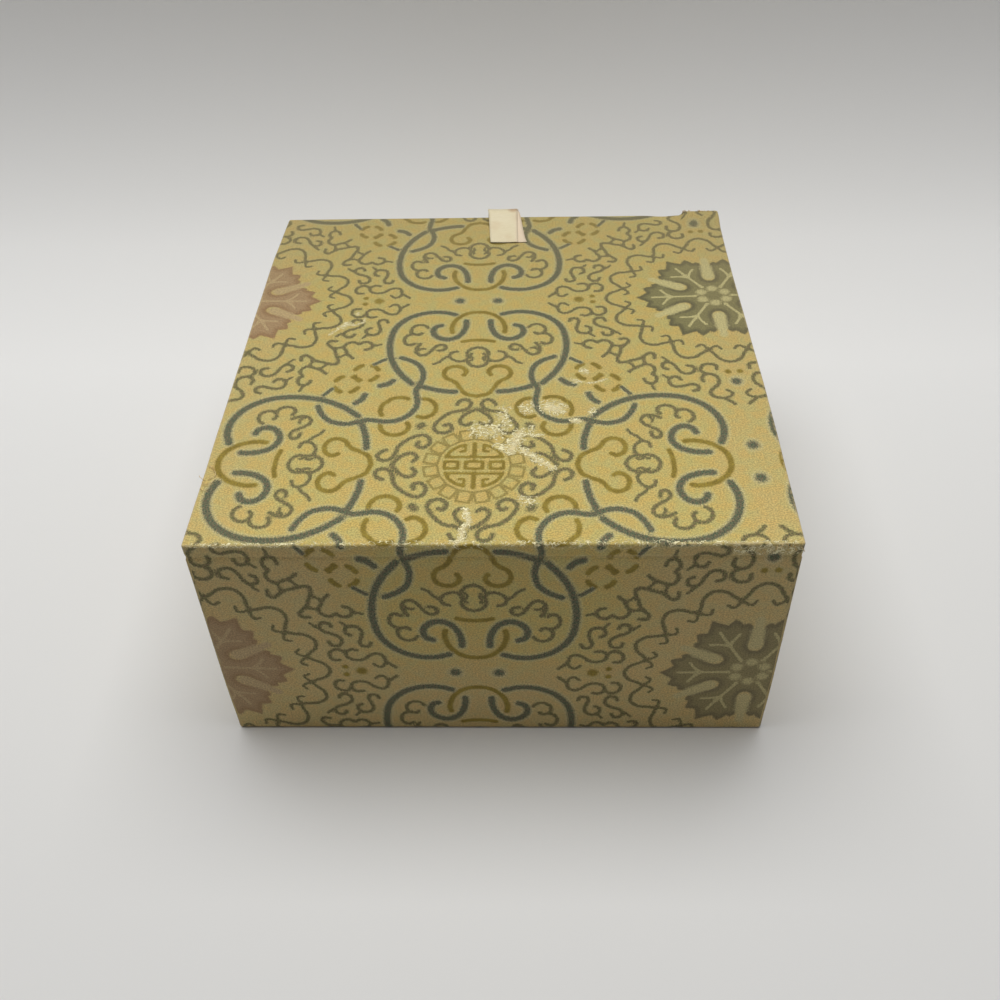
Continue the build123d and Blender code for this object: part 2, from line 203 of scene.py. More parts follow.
# Strokes of one eighth of the figure, between the axis through the medallion and the diagonal: the kind of
# thread, the half width and the line. All are in millimetres from the middle of the medallion.
drawn_strokes = [
    # outline of a lobe, which dives under the loop and comes out again beside the cloud head
    (CORD, 0.79, [(5.3, 47.6), (7.7, 48.4), (10.3, 48.5), (12.9, 47.8), (15.4, 46.3), (17.4, 43.9),
                  (18.6, 41.2), (19.1, 37.8), (19.0, 34.8), (18.4, 31.6), (17.4, 29.0), (15.9, 26.4),
                  (13.6, 23.6)]),
    (CORD, 0.75, [(11.0, 22.5), (8.7, 21.7), (6.6, 21.2), (4.5, 21.0)]),
    # loop that links two lobes over the diagonal
    (CORD, 0.68, [(16.3, 32.0), (14.0, 30.9), (12.2, 29.3), (11.4, 27.2), (11.3, 25.3), (11.9, 23.3),
                  (12.5, 21.7), (12.3, 19.9), (12.0, 18.0), (12.2, 16.2), (13.0, 14.6), (13.7, 13.7)]),
    # hook that holds the arch
    (CORD, 0.76, [(2.7, 44.9), (2.7, 43.3), (3.1, 41.4), (4.0, 39.6), (5.4, 38.5), (7.0, 38.2), (8.6, 38.8),
                  (9.7, 40.0), (9.9, 41.5), (9.3, 42.7), (8.2, 43.2)]),
    # dashes beside the coins, and dots
    (CORD, 0.75, [(17.5, 24.5), (18.6, 23.4), (20.0, 22.9)]),
    (CORD, 0.48, [(19.9, 31.3), (20.8, 30.6), (21.8, 29.9)]),
    (CORD, 1.2, dot(4.3, half_repeat)),
    (SCROLL, 0.85, dot(11.0, 10.6)),
    # arch and the bar under it, cloud head, knot on the diagonal
    (GILT, 0.58, [(0, 48.5), (1.9, 48.2), (3.8, 47.0), (5.1, 45.2), (5.7, 43.4), (5.9, 41.9), (5.7, 40.7)]),
    (GILT, 0.5, [(0, 37.9), (1.7, 37.8), (3.4, 37.4)]),
    (GILT, 0.52, [(2.8, 26.3), (2.3, 27.4), (3.2, 28.7), (4.8, 29.1), (6.4, 28.4), (7.0, 26.8), (6.4, 25.3),
                  (5.0, 24.4), (4.1, 23.4), (3.5, 22.0), (2.2, 20.3), (0, 19.6)]),
    (GILT, 0.52, [(18.0, 18.0), (17.2, 18.9), (15.2, 19.3), (13.9, 18.9)]),
    (GILT, 0.52, [(11.3, 18.9), (9.9, 18.7), (8.6, 17.6), (8.1, 15.9), (8.8, 14.1), (10.4, 13.2),
                  (11.6, 13.6)]),
    # lantern blossom and its arm
    (SCROLL, 0.42, [(0, 35.4), (1.4, 34.9), (2.3, 33.6), (2.1, 32.2), (2.3, 31.0), (1.5, 29.5), (0, 28.8)]),
    (SCROLL, 0.28, [(1.2, 33.3), (1.6, 32.6), (1.1, 31.8), (1.3, 31.0)]),
    (SCROLL, 0.38, [(2.3, 31.1), (3.7, 30.7), (5.2, 31.2), (6.0, 32.4), (5.7, 33.6), (4.5, 34.0)]),
    (SCROLL, 0.36, [(6.0, 32.6), (7.3, 31.7), (8.2, 30.5), (9.3, 29.9)]),
    # curls inside the lobe
    (SCROLL, 0.42, [(8.4, 34.4), (7.2, 34.7), (6.9, 35.7), (7.8, 36.4), (9.0, 35.9), (9.9, 34.6),
                    (10.9, 33.2), (12.1, 32.8), (13.2, 33.6), (13.3, 35.1), (12.5, 36.7)]),
    (SCROLL, 0.33, [(12.9, 34.4), (12.2, 35.0), (11.4, 35.0)]),
    (SCROLL, 0.42, [(11.1, 42.3), (11.9, 43.2), (13.2, 43.4), (14.4, 42.6), (14.8, 41.3), (14.2, 40.2),
                    (12.9, 39.9), (12.4, 40.4)]),
    (SCROLL, 0.42, [(14.5, 40.1), (15.6, 39.5), (16.1, 38.2), (15.7, 36.8), (14.7, 36.3), (13.8, 36.8)]),
    # scrolls round the medallion, and the heart between them
    (SCROLL, 0.46, [(3.9, 17.1), (3.3, 18.2), (2.1, 18.6), (1.1, 17.6), (1.5, 16.1), (2.9, 15.3),
                    (4.9, 14.8), (6.5, 13.5), (7.7, 11.9), (8.2, 10.3), (7.5, 9.1), (5.9, 8.8), (4.7, 9.9),
                    (5.2, 11.3), (6.2, 11.0)]),
    (SCROLL, 0.44, [(0, 15.7), (1.2, 14.9), (2.4, 13.9), (3.1, 12.7), (2.9, 11.5), (1.8, 11.0),
                    (0.9, 11.7)]),
    # curls between the quatrefoil and the vine
    (SCROLL, 0.42, [(16.0, 51.8), (17.0, 50.8), (17.8, 49.8), (18.1, 48.4), (19.3, 47.6), (20.8, 48.3),
                    (22.0, 49.5), (23.6, 49.8), (25.0, 49.1), (25.3, 47.6), (24.3, 46.5), (23.1, 46.7)]),
    (SCROLL, 0.36, [(17.9, 50.4), (18.4, 51.5), (19.3, 51.8), (20.2, 50.9)]),
    (SCROLL, 0.42, [(26.8, 49.9), (27.9, 49.9), (28.5, 49.0), (28.4, 47.6), (27.3, 46.7), (26.1, 46.8),
                    (25.5, 47.6)]),
    (SCROLL, 0.42, [(20.2, 44.4), (20.6, 45.4), (21.8, 45.4), (22.3, 44.3), (21.9, 42.9), (21.6, 41.4),
                    (22.2, 40.1), (23.6, 39.8), (24.6, 40.5), (24.7, 41.7), (23.8, 42.3)]),
    (SCROLL, 0.33, [(24.2, 40.1), (24.7, 39.4), (25.3, 38.8)]),
    (SCROLL, 0.42, [(28.2, 44.2), (27.8, 45.3), (26.5, 45.4), (25.7, 44.4), (25.9, 43.0), (27.1, 42.1),
                    (28.7, 41.4), (29.5, 40.3), (28.9, 39.1), (27.7, 39.1), (27.2, 40.0)]),
    (SCROLL, 0.33, [(29.3, 40.8), (30.3, 40.1), (31.1, 39.3)]),
    # branch over the diagonal
    (SCROLL, 0.42, [(24.3, 34.7), (23.2, 35.1), (22.8, 36.2), (23.6, 37.2), (24.9, 37.3), (25.8, 36.6),
                    (27.0, 37.3), (28.3, 36.9), (29.0, 35.7), (28.4, 34.3), (27.8, 33.0), (26.7, 31.8)]),
    (SCROLL, 0.33, [(21.0, 36.5), (22.0, 36.2), (22.9, 36.3)]),
    (SCROLL, 0.33, [(28.0, 33.4), (28.7, 32.8), (29.4, 32.2)]),
    (SCROLL, 0.33, [(29.0, 35.6), (30.2, 35.3), (31.5, 35.4)]),
    (SCROLL, 0.42, [(30.9, 37.6), (32.1, 37.7), (32.7, 36.8), (31.8, 35.6), (30.9, 34.5), (30.4, 32.9),
                    (29.8, 31.3), (29.7, 30.2), (30.0, 30.0)]),
]
strokes = [(kind, half, curve(line)) for kind, half, line in drawn_strokes]

# Two coins that share a leaf on the diagonal, each a ring of four leaves
for quarter in (45, 135, 225, 315):
    strokes.append((GILT, 0.58, polar((23.3, 27.0), np.linspace(quarter - 20, quarter + 20, 7), 2.6)))

# Ring of sixteen small frames round the roundel
for k in range(4):
    square = polar((8.25, 0), np.array([137, 43, -43, -137, 137]), np.full(5, 1.84))
    turn = math.radians(11.25 + 22.5 * k)
    frame_x = square[:, 0] * math.cos(turn) - square[:, 1] * math.sin(turn)
    frame_y = square[:, 0] * math.sin(turn) + square[:, 1] * math.cos(turn)
    strokes.append((FRET, 0.24, np.stack([frame_x, frame_y], -1)))

# What isn't mirrored over the diagonal. One quarter of the medallion's roundel: a row of boxes between two
# bars, and a round fret above and below them. Then the three dots between two vines, gold beside one pair
# of flowers and dark beside the other.
upright_strokes = [
    (GILT, 0.33, [(0, 0.92), (1.65, 0.92), (1.65, 0)]),
    (GILT, 0.33, [(3.1, 0), (3.1, 0.92), (5.6, 0.92), (5.6, 0)]),
    (GILT, 0.28, [(0, 2.2), (5.2, 2.2)]),
    (GILT, 0.38, curve([(5.4, 2.2), (4.6, 3.7), (3.2, 4.9), (1.8, 5.45)])),
    (GILT, 0.28, [(1.8, 5.4), (1.8, 3.7), (2.7, 3.6)]),
    (GILT, 0.46, [(0, 2.1), (0, 5.8)]),
    (GILT, 1.1, dot(22.8, half_repeat)),
    (GILT, 0.65, dot(25.9, half_repeat - 1.2)),
    (CORD, 1.1, dot(half_repeat, 22.8)),
    (GILT, 0.65, dot(half_repeat - 1.2, 25.9)),
]

# Vine round the flower: sixteen scallops, with a hooked node between every two
flower_middle = (half_repeat, half_repeat)
scallop = [(0, 20.4), (3, 21.6), (6.2, 23.3), (11.25, 24.2), (16.3, 23.3), (19.5, 21.6), (22.5, 20.4)]
hooks = [(-7.2, 19.9), (-5.2, 19.0), (-2.7, 19.3), (0, 20.3), (2.7, 19.3), (5.2, 19.0), (7.2, 19.9)]
for k in range(-1, 5):
    node = 180 + 11.25 + 22.5 * k
    strokes.append((SCROLL, 0.4, curve([polar(flower_middle, node + a, r) for a, r in scallop])))
    strokes.append((SCROLL, 0.32, curve([polar(flower_middle, node + a, r) for a, r in hooks])))


def spoke(degrees, *radii):
    """A straight line out from the flower's middle."""
    return polar((0, 0), np.full(len(radii), float(degrees)), np.array(radii))


# One twelfth of the flower, from the axis of a petal at 0 degrees to the bud beside it at 30 degrees: the
# rim of the dark petal as angles and distances from the flower's middle, its pale veins, the bud and a pearl
petal_rim = np.array([(0, 17.4), (2.5, 16.3), (5, 15.5), (8, 14.8), (11, 15.4), (14, 15.9), (16.5, 15.1),
                      (19, 14.0), (22, 14.4), (25, 13.7), (26.5, 12.4), (26, 11.2), (23.5, 9.8),
                      (20.5, 8.6), (21, 7.1), (25, 6.5), (30, 6.4)])
flower_reach = 20
petal_strokes = [
    (VEIN, 0.3, spoke(0, 4.0, 13.6)),
    (VEIN, 0.27, curve([(9.0, 0), (10.4, 1.3), (11.4, 2.9)])),
    (VEIN, 1.35, spoke(30, 8.2, 12.0)),
    (VEIN, 0.85, spoke(30, 12.5, 15.0)),
    (VEIN, 1.1, spoke(30, 2.95, 2.95)),
]


def nearest(points, line):
    """From each point, the way to the nearest point of a line, and its length."""
    best = np.full(len(points), np.inf)
    way = np.zeros_like(points)
    for start, end in zip(line[:-1], line[1:]):
        step = end - start
        share = np.clip((points - start) @ step / max(step @ step, 1e-12), 0, 1)
        gap = start + share[:, None] * step - points
        length = (gap**2).sum(1)
        closer = length < best
        best[closer] = length[closer]
        way[closer] = gap[closer]
    return way, np.sqrt(best)


def enclosed(points, outline):
    """Whether points lie inside a closed outline."""
    result = np.zeros(len(points), bool)
    for start, end in zip(outline, np.roll(outline, -1, axis=0)):
        spans = (start[1] > points[:, 1]) != (end[1] > points[:, 1])
        share = (points[:, 1] - start[1]) / (end[1] - start[1] or 1)
        result ^= spans & (points[:, 0] < start[0] + share * (end[0] - start[0]))
    return result


def close_to(points, line, reach):
    """Which points lie in the box round a line, with some reach."""
    return np.flatnonzero(((points > line.min(0) - reach) & (points < line.max(0) + reach)).all(1))


# How far off counts as no thread, in half widths, and the slack of the guard against false lines
no_thread = 9.0
guard_slack = 0.12


def weave(threads, strokes_here, points, turn):
    """Add strokes to the woven threads. Points are seen in the strokes' own frame, to which turn leads."""
    reach = 3.0
    for kind, half, line in strokes_here:
        line = np.array(line, float)
        near = close_to(points, line, reach)
        way, length = nearest(points[near], line)
        field = threads[kind]
        better = length / half < field[near, 3]
        rows = near[better]
        field[rows, :2] = np.einsum("nji,nj->ni", turn[rows], way[better]) / half
        # The plain distance guards against a false line half way between two real ones
        field[rows, 2] = np.maximum(length[better] - guard_slack, 0) / half
        field[rows, 3] = length[better] / half


# Where the figure lies on the lid: the middle of the medallion, and the share of the drawn size across and
# along the cloth. The cloth was also pulled a little askew and into a bow when it was glued on.
medallion = (-3.8, -37.5)
across_share = 0.982
along_share = 0.907
fold_across = 53.75
fold_along = 52.25


def on_the_figure(cloth):
    """From places on the cloth to places on the drawing of the figure."""
    x = cloth[:, 0] - medallion[0]
    y = cloth[:, 1] - medallion[1]
    bow, twist, sag = (x / 60) ** 2, x * y / 60**2, (y / 60) ** 2
    u = across_share * x + 0.007 * y + 0.44 * bow + 0.24 * twist + 0.49 * sag
    v = along_share * y + 0.0066 * x - 1.17 * bow - 0.5 * twist + 0.33 * sag - 0.17 * sag * y / 60
    return u, v


def fold_over(value, half):
    """Mirror a coordinate into the first half repeat, with its direction there. The outer part is eased out
    to the half repeat of the drawing."""
    outer_part = 43
    turned = (value + half) % (2 * half) - half
    folded = np.abs(turned)
    eased = folded + (half_repeat - half) * np.clip((folded - outer_part) / (half - outer_part), 0, 1)
    return eased, np.where(turned < 0, -1.0, 1.0)


def turns(*parts):
    """For every point, the four numbers that turn a direction in the drawing to one on the cloth."""
    return np.stack(parts, -1).reshape(-1, 2, 2)


def woven_figure(cloth):
    """Everything that the figure's threads do at places on the cloth, which are in millimetres."""
    u, v = on_the_figure(cloth)
    x, way_x = fold_over(u, fold_across)
    y, way_y = fold_over(v, fold_along)
    threads = {kind: np.full((len(cloth), 4), no_thread) for kind in (CORD, SCROLL, GILT, FRET, VEIN)}
    none = np.zeros_like(way_x)
    weave(threads, strokes + upright_strokes, np.stack([x, y], -1), turns(way_x, none, none, way_y))
    weave(threads, strokes, np.stack([y, x], -1), turns(none, way_y, way_x, none))

    # Flower: fold its round into twelfths
    off_x = half_repeat - x
    off_y = half_repeat - y
    radius = np.hypot(off_x, off_y)
    angle = np.degrees(np.arctan2(off_y, off_x))
    axis = 60 * np.round(angle / 60)
    beside = angle - axis
    side = np.where(beside < 0, -1.0, 1.0)
    cos, sin = np.cos(np.radians(axis)), np.sin(np.radians(axis))
    local = np.stack([radius * np.cos(np.radians(beside)), radius * np.abs(np.sin(np.radians(beside)))], -1)
    turned = turns(-way_x * cos, -way_y * sin, side * way_x * sin, -side * way_y * cos)
    weave(threads, petal_strokes, local, turned)
    petal = np.full(len(cloth), no_thread)
    close = np.flatnonzero(radius < flower_reach)
    rim_line = polar((0, 0), petal_rim[:, 0], petal_rim[:, 1])
    _, to_rim = nearest(local[close], rim_line)
    whole_petal = np.vstack([(0.0, 0.0), rim_line])
    petal[close] = np.where(enclosed(local[close], whole_petal), -to_rim, to_rim)
    warm = (np.floor(u / (2 * fold_across)) % 2 != 0).astype(float)
    return threads, petal, warm


# Places where the silk is rubbed through to its pale backing: how deeply, half the width, and the line
worn_places = [
    # beside the medallion
    (0.6, 2.5, [(-2.6, -27.0), (-0.2, -27.4)]),
    (0.75, 1.3, [(1.2, -21.8), (2.2, -25.4)]),
    (1.3, 1.7, [(4.9, -28.0), (4.0, -30.8), (3.4, -33.0)]),
    (0.9, 1.2, [(0.6, -31.9), (3.4, -32.8)]),
    (1.1, 1.1, [(5.6, -33.2), (8.6, -36.0), (11.2, -38.2)]),
    (0.9, 0.6, [(5.2, -28.2), (9.6, -28.8)]),
    (0.7, 0.8, [(7.3, -26.3), (7.4, -27.2)]),
    # inside and beside the knot
    (1.4, 2.4, [(11.0, -19.8), (12.4, -20.2)]),
    (0.55, 1.4, [(6.3, -19.2), (6.4, -20.6)]),
    (1.4, 0.85, [(15.5, -24.1), (17.0, -24.4)]),
    (0.5, 0.9, [(19.4, -20.4), (19.4, -21.6)]),
    (0.45, 0.7, [(1.3, -19.7), (2.5, -19.9)]),
    # across the coins
    (1.1, 0.9, [(18.2, -7.3), (18.9, -8.1)]),
    (1.2, 0.34, [(16.5, -11.0), (19.0, -11.8), (21.0, -11.5), (23.1, -10.4)]),
    (0.9, 0.8, [(16.2, -10.6), (16.6, -11.3)]),
    # scratch beside the vine
    (1.2, 0.4, [(-37.7, 6.6), (-35.7, 9.6), (-34.3, 11.6), (-32.6, 10.4), (-30.7, 11.2), (-30.3, 12.9)]),
    (0.7, 0.8, [(-35.4, 9.4), (-34.0, 10.6)]),
    (1.1, 0.7, [(-32.4, 15.0), (-32.2, 14.5)]),
    # the torn strip at the fold, and a rubbed place beside it
    (1.3, 0.85, [(-5.0, -50.1), (-4.2, -53.4), (-5.4, -55.3), (-5.3, -57.6), (-6.6, -58.6)]),
    (0.5, 1.3, [(6.0, -47.3), (7.2, -47.7)]),
    # along the fold
    (0.55, 0.45, [(-54.6, -58.9), (-36, -58.9)]),
    (0.08, 0.35, [(-36, -58.9), (33, -58.8)]),
    (0.6, 0.5, [(33, -58.8), (54.6, -58.7)]),
    # frayed edge of the lid, beside the near right corner
    (0.35, 1.2, [(44.5, -60.2), (54.4, -60.0)]),
]


def wear(cloth):
    """How far the silk is rubbed: most along the line of a worn place, and less than 0 outside."""
    rubbed = np.full(len(cloth), -1.0)
    for depth, half, line in worn_places:
        line = np.array(line, float)
        near = close_to(cloth, line, 2 * half + 0.5)
        _, length = nearest(cloth[near], line)
        rubbed[near] = np.maximum(rubbed[near], depth * (1 - length / half))
    return rubbed


def unevenness(points):
    """The slight hills and hollows of glued cloth, drawn about one millimetre high."""
    x, y, z = points.T
    slow = np.sin(x / 9.1 + 0.7) * np.sin(y / 11.3 + 1.9) + np.sin((x + y) / 17.0) * np.cos((y - z) / 13.0)
    quick = np.sin(x / 2.9 + z / 4.1 + 0.4) * np.sin(y / 3.3 + z / 2.7 + 2.2)
    return 0.3 * slow + 0.12 * quick


def smooth_step(share):
    """From 0 to 1, easily at both ends."""
    share = np.clip(share, 0, 1)
    return share * share * (3 - 2 * share)


def hump(value, width):
    """1 at 0, and falling smoothly to nothing on both sides of it."""
    return np.exp(-((value / width) ** 2))


def bulge(points):
    """How far the cloth on the sides stands out from the boards with age: on the left along most of its
    length, and on the right most beside the hinge."""
    x, y, z = points.T
    side = x / half_width
    on_left = 1.0 * (1 - 0.8 * np.clip((y - 40) / 18, 0, 1))
    on_right = 0.85 * (1 - 0.8 * np.clip((y + 15) / 45, 0, 1))
    return side**25 * np.where(side < 0, on_left, on_right) * (0.7 + 0.3 * np.clip(z / 14, 0, 1))


def stations(columns, rows, corner_steps=4):
    """Places round a rectangle, anticlockwise from the left end of its near side: where each lies on the
    core rectangle, as shares of its half sizes, its outward angle, and the side that follows it."""
    corners = [(-1, -1), (1, -1), (1, 1), (-1, 1)]
    places = []
    for k in range(4):
        start, end = np.array(corners[k], float), np.array(corners[(k + 1) % 4], float)
        count = columns if k % 2 == 0 else rows
        outward = -90 + 90 * k
        for i in range(count + 1):
            places.append((*(start + (end - start) * i / count), outward, k))
        for j in range(1, corner_steps):
            past_mitre = j >= corner_steps / 2
            places.append((*end, outward + 90 * j / corner_steps, (k + past_mitre) % 4))
    return np.array(places)


HINGE_SIDE, RIGHT_SIDE, OPENING_SIDE, LEFT_SIDE = range(4)


def bend(inset, height, radius, start, end, steps=4):
    """A rounded fold in a profile, which turns about a centre from one tilt to another."""
    tilts = np.linspace(start, end, steps + 1)
    return [(inset - radius * math.cos(math.radians(t)), height + radius * math.sin(math.radians(t)), t)
            for t in tilts]


def straight(start, end, spacing):
    """The stretch of a profile between two places, without its ends."""
    length = math.dist(start[:2], end[:2])
    count = max(int(round(length / spacing)), 1)
    return [tuple(a + (b - a) * i / count for a, b in zip(start, end)) for i in range(1, count)]


def wrap(profile, places, half, corner, waves=0.0):
    """Cloth round a slab, with a profile of insets, heights and tilts of its outer face above level. Returns
    its points, their places on the cloth, their folds, and its faces with the side that each belongs to.
    A fold is above 0 over a level edge, most towards its ends, and below 0 at an upright one. Waves push the
    cloth out along its face."""
    half = np.array(half)
    outward = np.radians(places[:, 2])
    out = np.stack([np.cos(outward), np.sin(outward)], -1)
    points, cloth, folds = [], [], []
    run = 0.0
    for step, (inset, height, tilt) in enumerate(profile):
        if step:
            run += math.dist(profile[step - 1][:2], (inset, height))
        tilt = math.radians(tilt)
        flat = places[:, :2] * (half - max(inset, corner)) + out * max(corner - inset, 0)
        ring = np.column_stack([flat, np.full(len(flat), height)])
        push = waves * unevenness(ring)
        ring[:, :2] += out * (push * math.cos(tilt))[:, None]
        ring[:, 2] += push * math.sin(tilt)
        points.append(ring)
        cloth.append(places[:, :2] * (half - corner) + out * run)
        if 0 < tilt < math.pi / 2:
            towards_ends = np.clip((np.abs(flat[:, 0]) - 26) / 10, 0, 1)
            folds.append(math.sin(2 * tilt) ** 2 * (0.35 + 0.65 * towards_ends))
        else:
            from_corner = np.hypot(*(half - np.abs(flat)).T)
            folds.append(-hump(from_corner, 0.8) * (tilt == 0))
    count = len(places)
    step, station = np.meshgrid(np.arange(len(profile) - 1), np.arange(count), indexing="ij")
    following = (station + 1) % count
    faces = np.stack([step * count + station, (step + 1) * count + station,
                      (step + 1) * count + following, step * count + following], -1).reshape(-1, 4)
    sides = np.broadcast_to(places[:, 3].astype(int), step.shape).ravel()
    return np.vstack(points), np.vstack(cloth), np.concatenate(folds), faces, sides


def weld(points, faces):
    """Join points that lie in the same place. Returns which points to keep and the faces that use them."""
    _, first, same = np.unique(np.round(points, 5), axis=0, return_index=True, return_inverse=True)
    same = same.ravel()[faces]
    used, packed = np.unique(same, return_inverse=True)
    packed = packed.reshape(same.shape)
    kept = []
    for face in packed.tolist():
        corners = [c for i, c in enumerate(face) if c != face[i - 1]]
        if len(set(corners)) > 2:
            kept.append(corners)
    return first[used], kept


def put_in_scene(name, contents):
    """A mesh, light or camera as an object of the scene."""
    placed = bpy.data.objects.new(name, contents)
    bpy.context.scene.collection.objects.link(placed)
    return placed


def new_piece(name, points, faces, material):
    """A smooth mesh piece from points in millimetres."""
    mesh = bpy.data.meshes.new(name)
    mesh.from_pydata((np.asarray(points) * mm).tolist(), [], faces)
    mesh.polygons.foreach_set("use_smooth", [True] * len(mesh.polygons))
    mesh.materials.append(material)
    return put_in_scene(name, mesh)


def mark(piece, name, values):
    """Write a value or a vector on every point of a piece, for its material to read."""
    values = np.asarray(values, np.float32)
    kind, field = ("FLOAT_VECTOR", "vector") if values.ndim == 2 else ("FLOAT", "value")
    piece.data.attributes.new(name, kind, "POINT").data.foreach_set(field, values.ravel())


def read(tree, name, socket):
    """A mark, as a value or a vector."""
    node = tree.nodes.new("ShaderNodeAttribute")
    node.attribute_name = name
    return node.outputs[socket]


def math_of(tree, operation, first, second=0.0, clamp=False):
    """One sum, product or other operation on two values."""
    node = tree.nodes.new("ShaderNodeMath")
    node.operation = operation
    node.use_clamp = clamp
    feed(tree, node.inputs[0], first)
    feed(tree, node.inputs[1], second)
    return node.outputs[0]


def plus(tree, first, second):
    """The sum of two values."""
    return math_of(tree, "ADD", first, second)


def times(tree, first, second, clamp=False):
    """The product of two values, kept from 0 to 1 where it is clamped."""
    return math_of(tree, "MULTIPLY", first, second, clamp)


def away_from(tree, value, middle):
    """How far a value is from a middle, whether above or below it."""
    return math_of(tree, "ABSOLUTE", math_of(tree, "SUBTRACT", value, middle))


def part_of(tree, vector, axis):
    """One coordinate of a vector."""
    node = tree.nodes.new("ShaderNodeSeparateXYZ")
    feed(tree, node.inputs[0], vector)
    return node.outputs[axis]


def thread_distance(tree, kind):
    """How far a place is from the nearest stroke of a thread: 1 is the stroke's edge."""
    way = read(tree, kind, "Vector")
    length = vector_of(tree, "LENGTH", vector_of(tree, "MULTIPLY", way, (1, 1, 0)))
    return math_of(tree, "MAXIMUM", length, part_of(tree, way, "Z"))


def scaled(tree, colour, factor):
    """A colour times a factor."""
    node = tree.nodes.new("ShaderNodeVectorMath")
    node.operation = "SCALE"
    feed(tree, node.inputs[0], colour)
    feed(tree, node.inputs["Scale"], factor)
    return node.outputs[0]


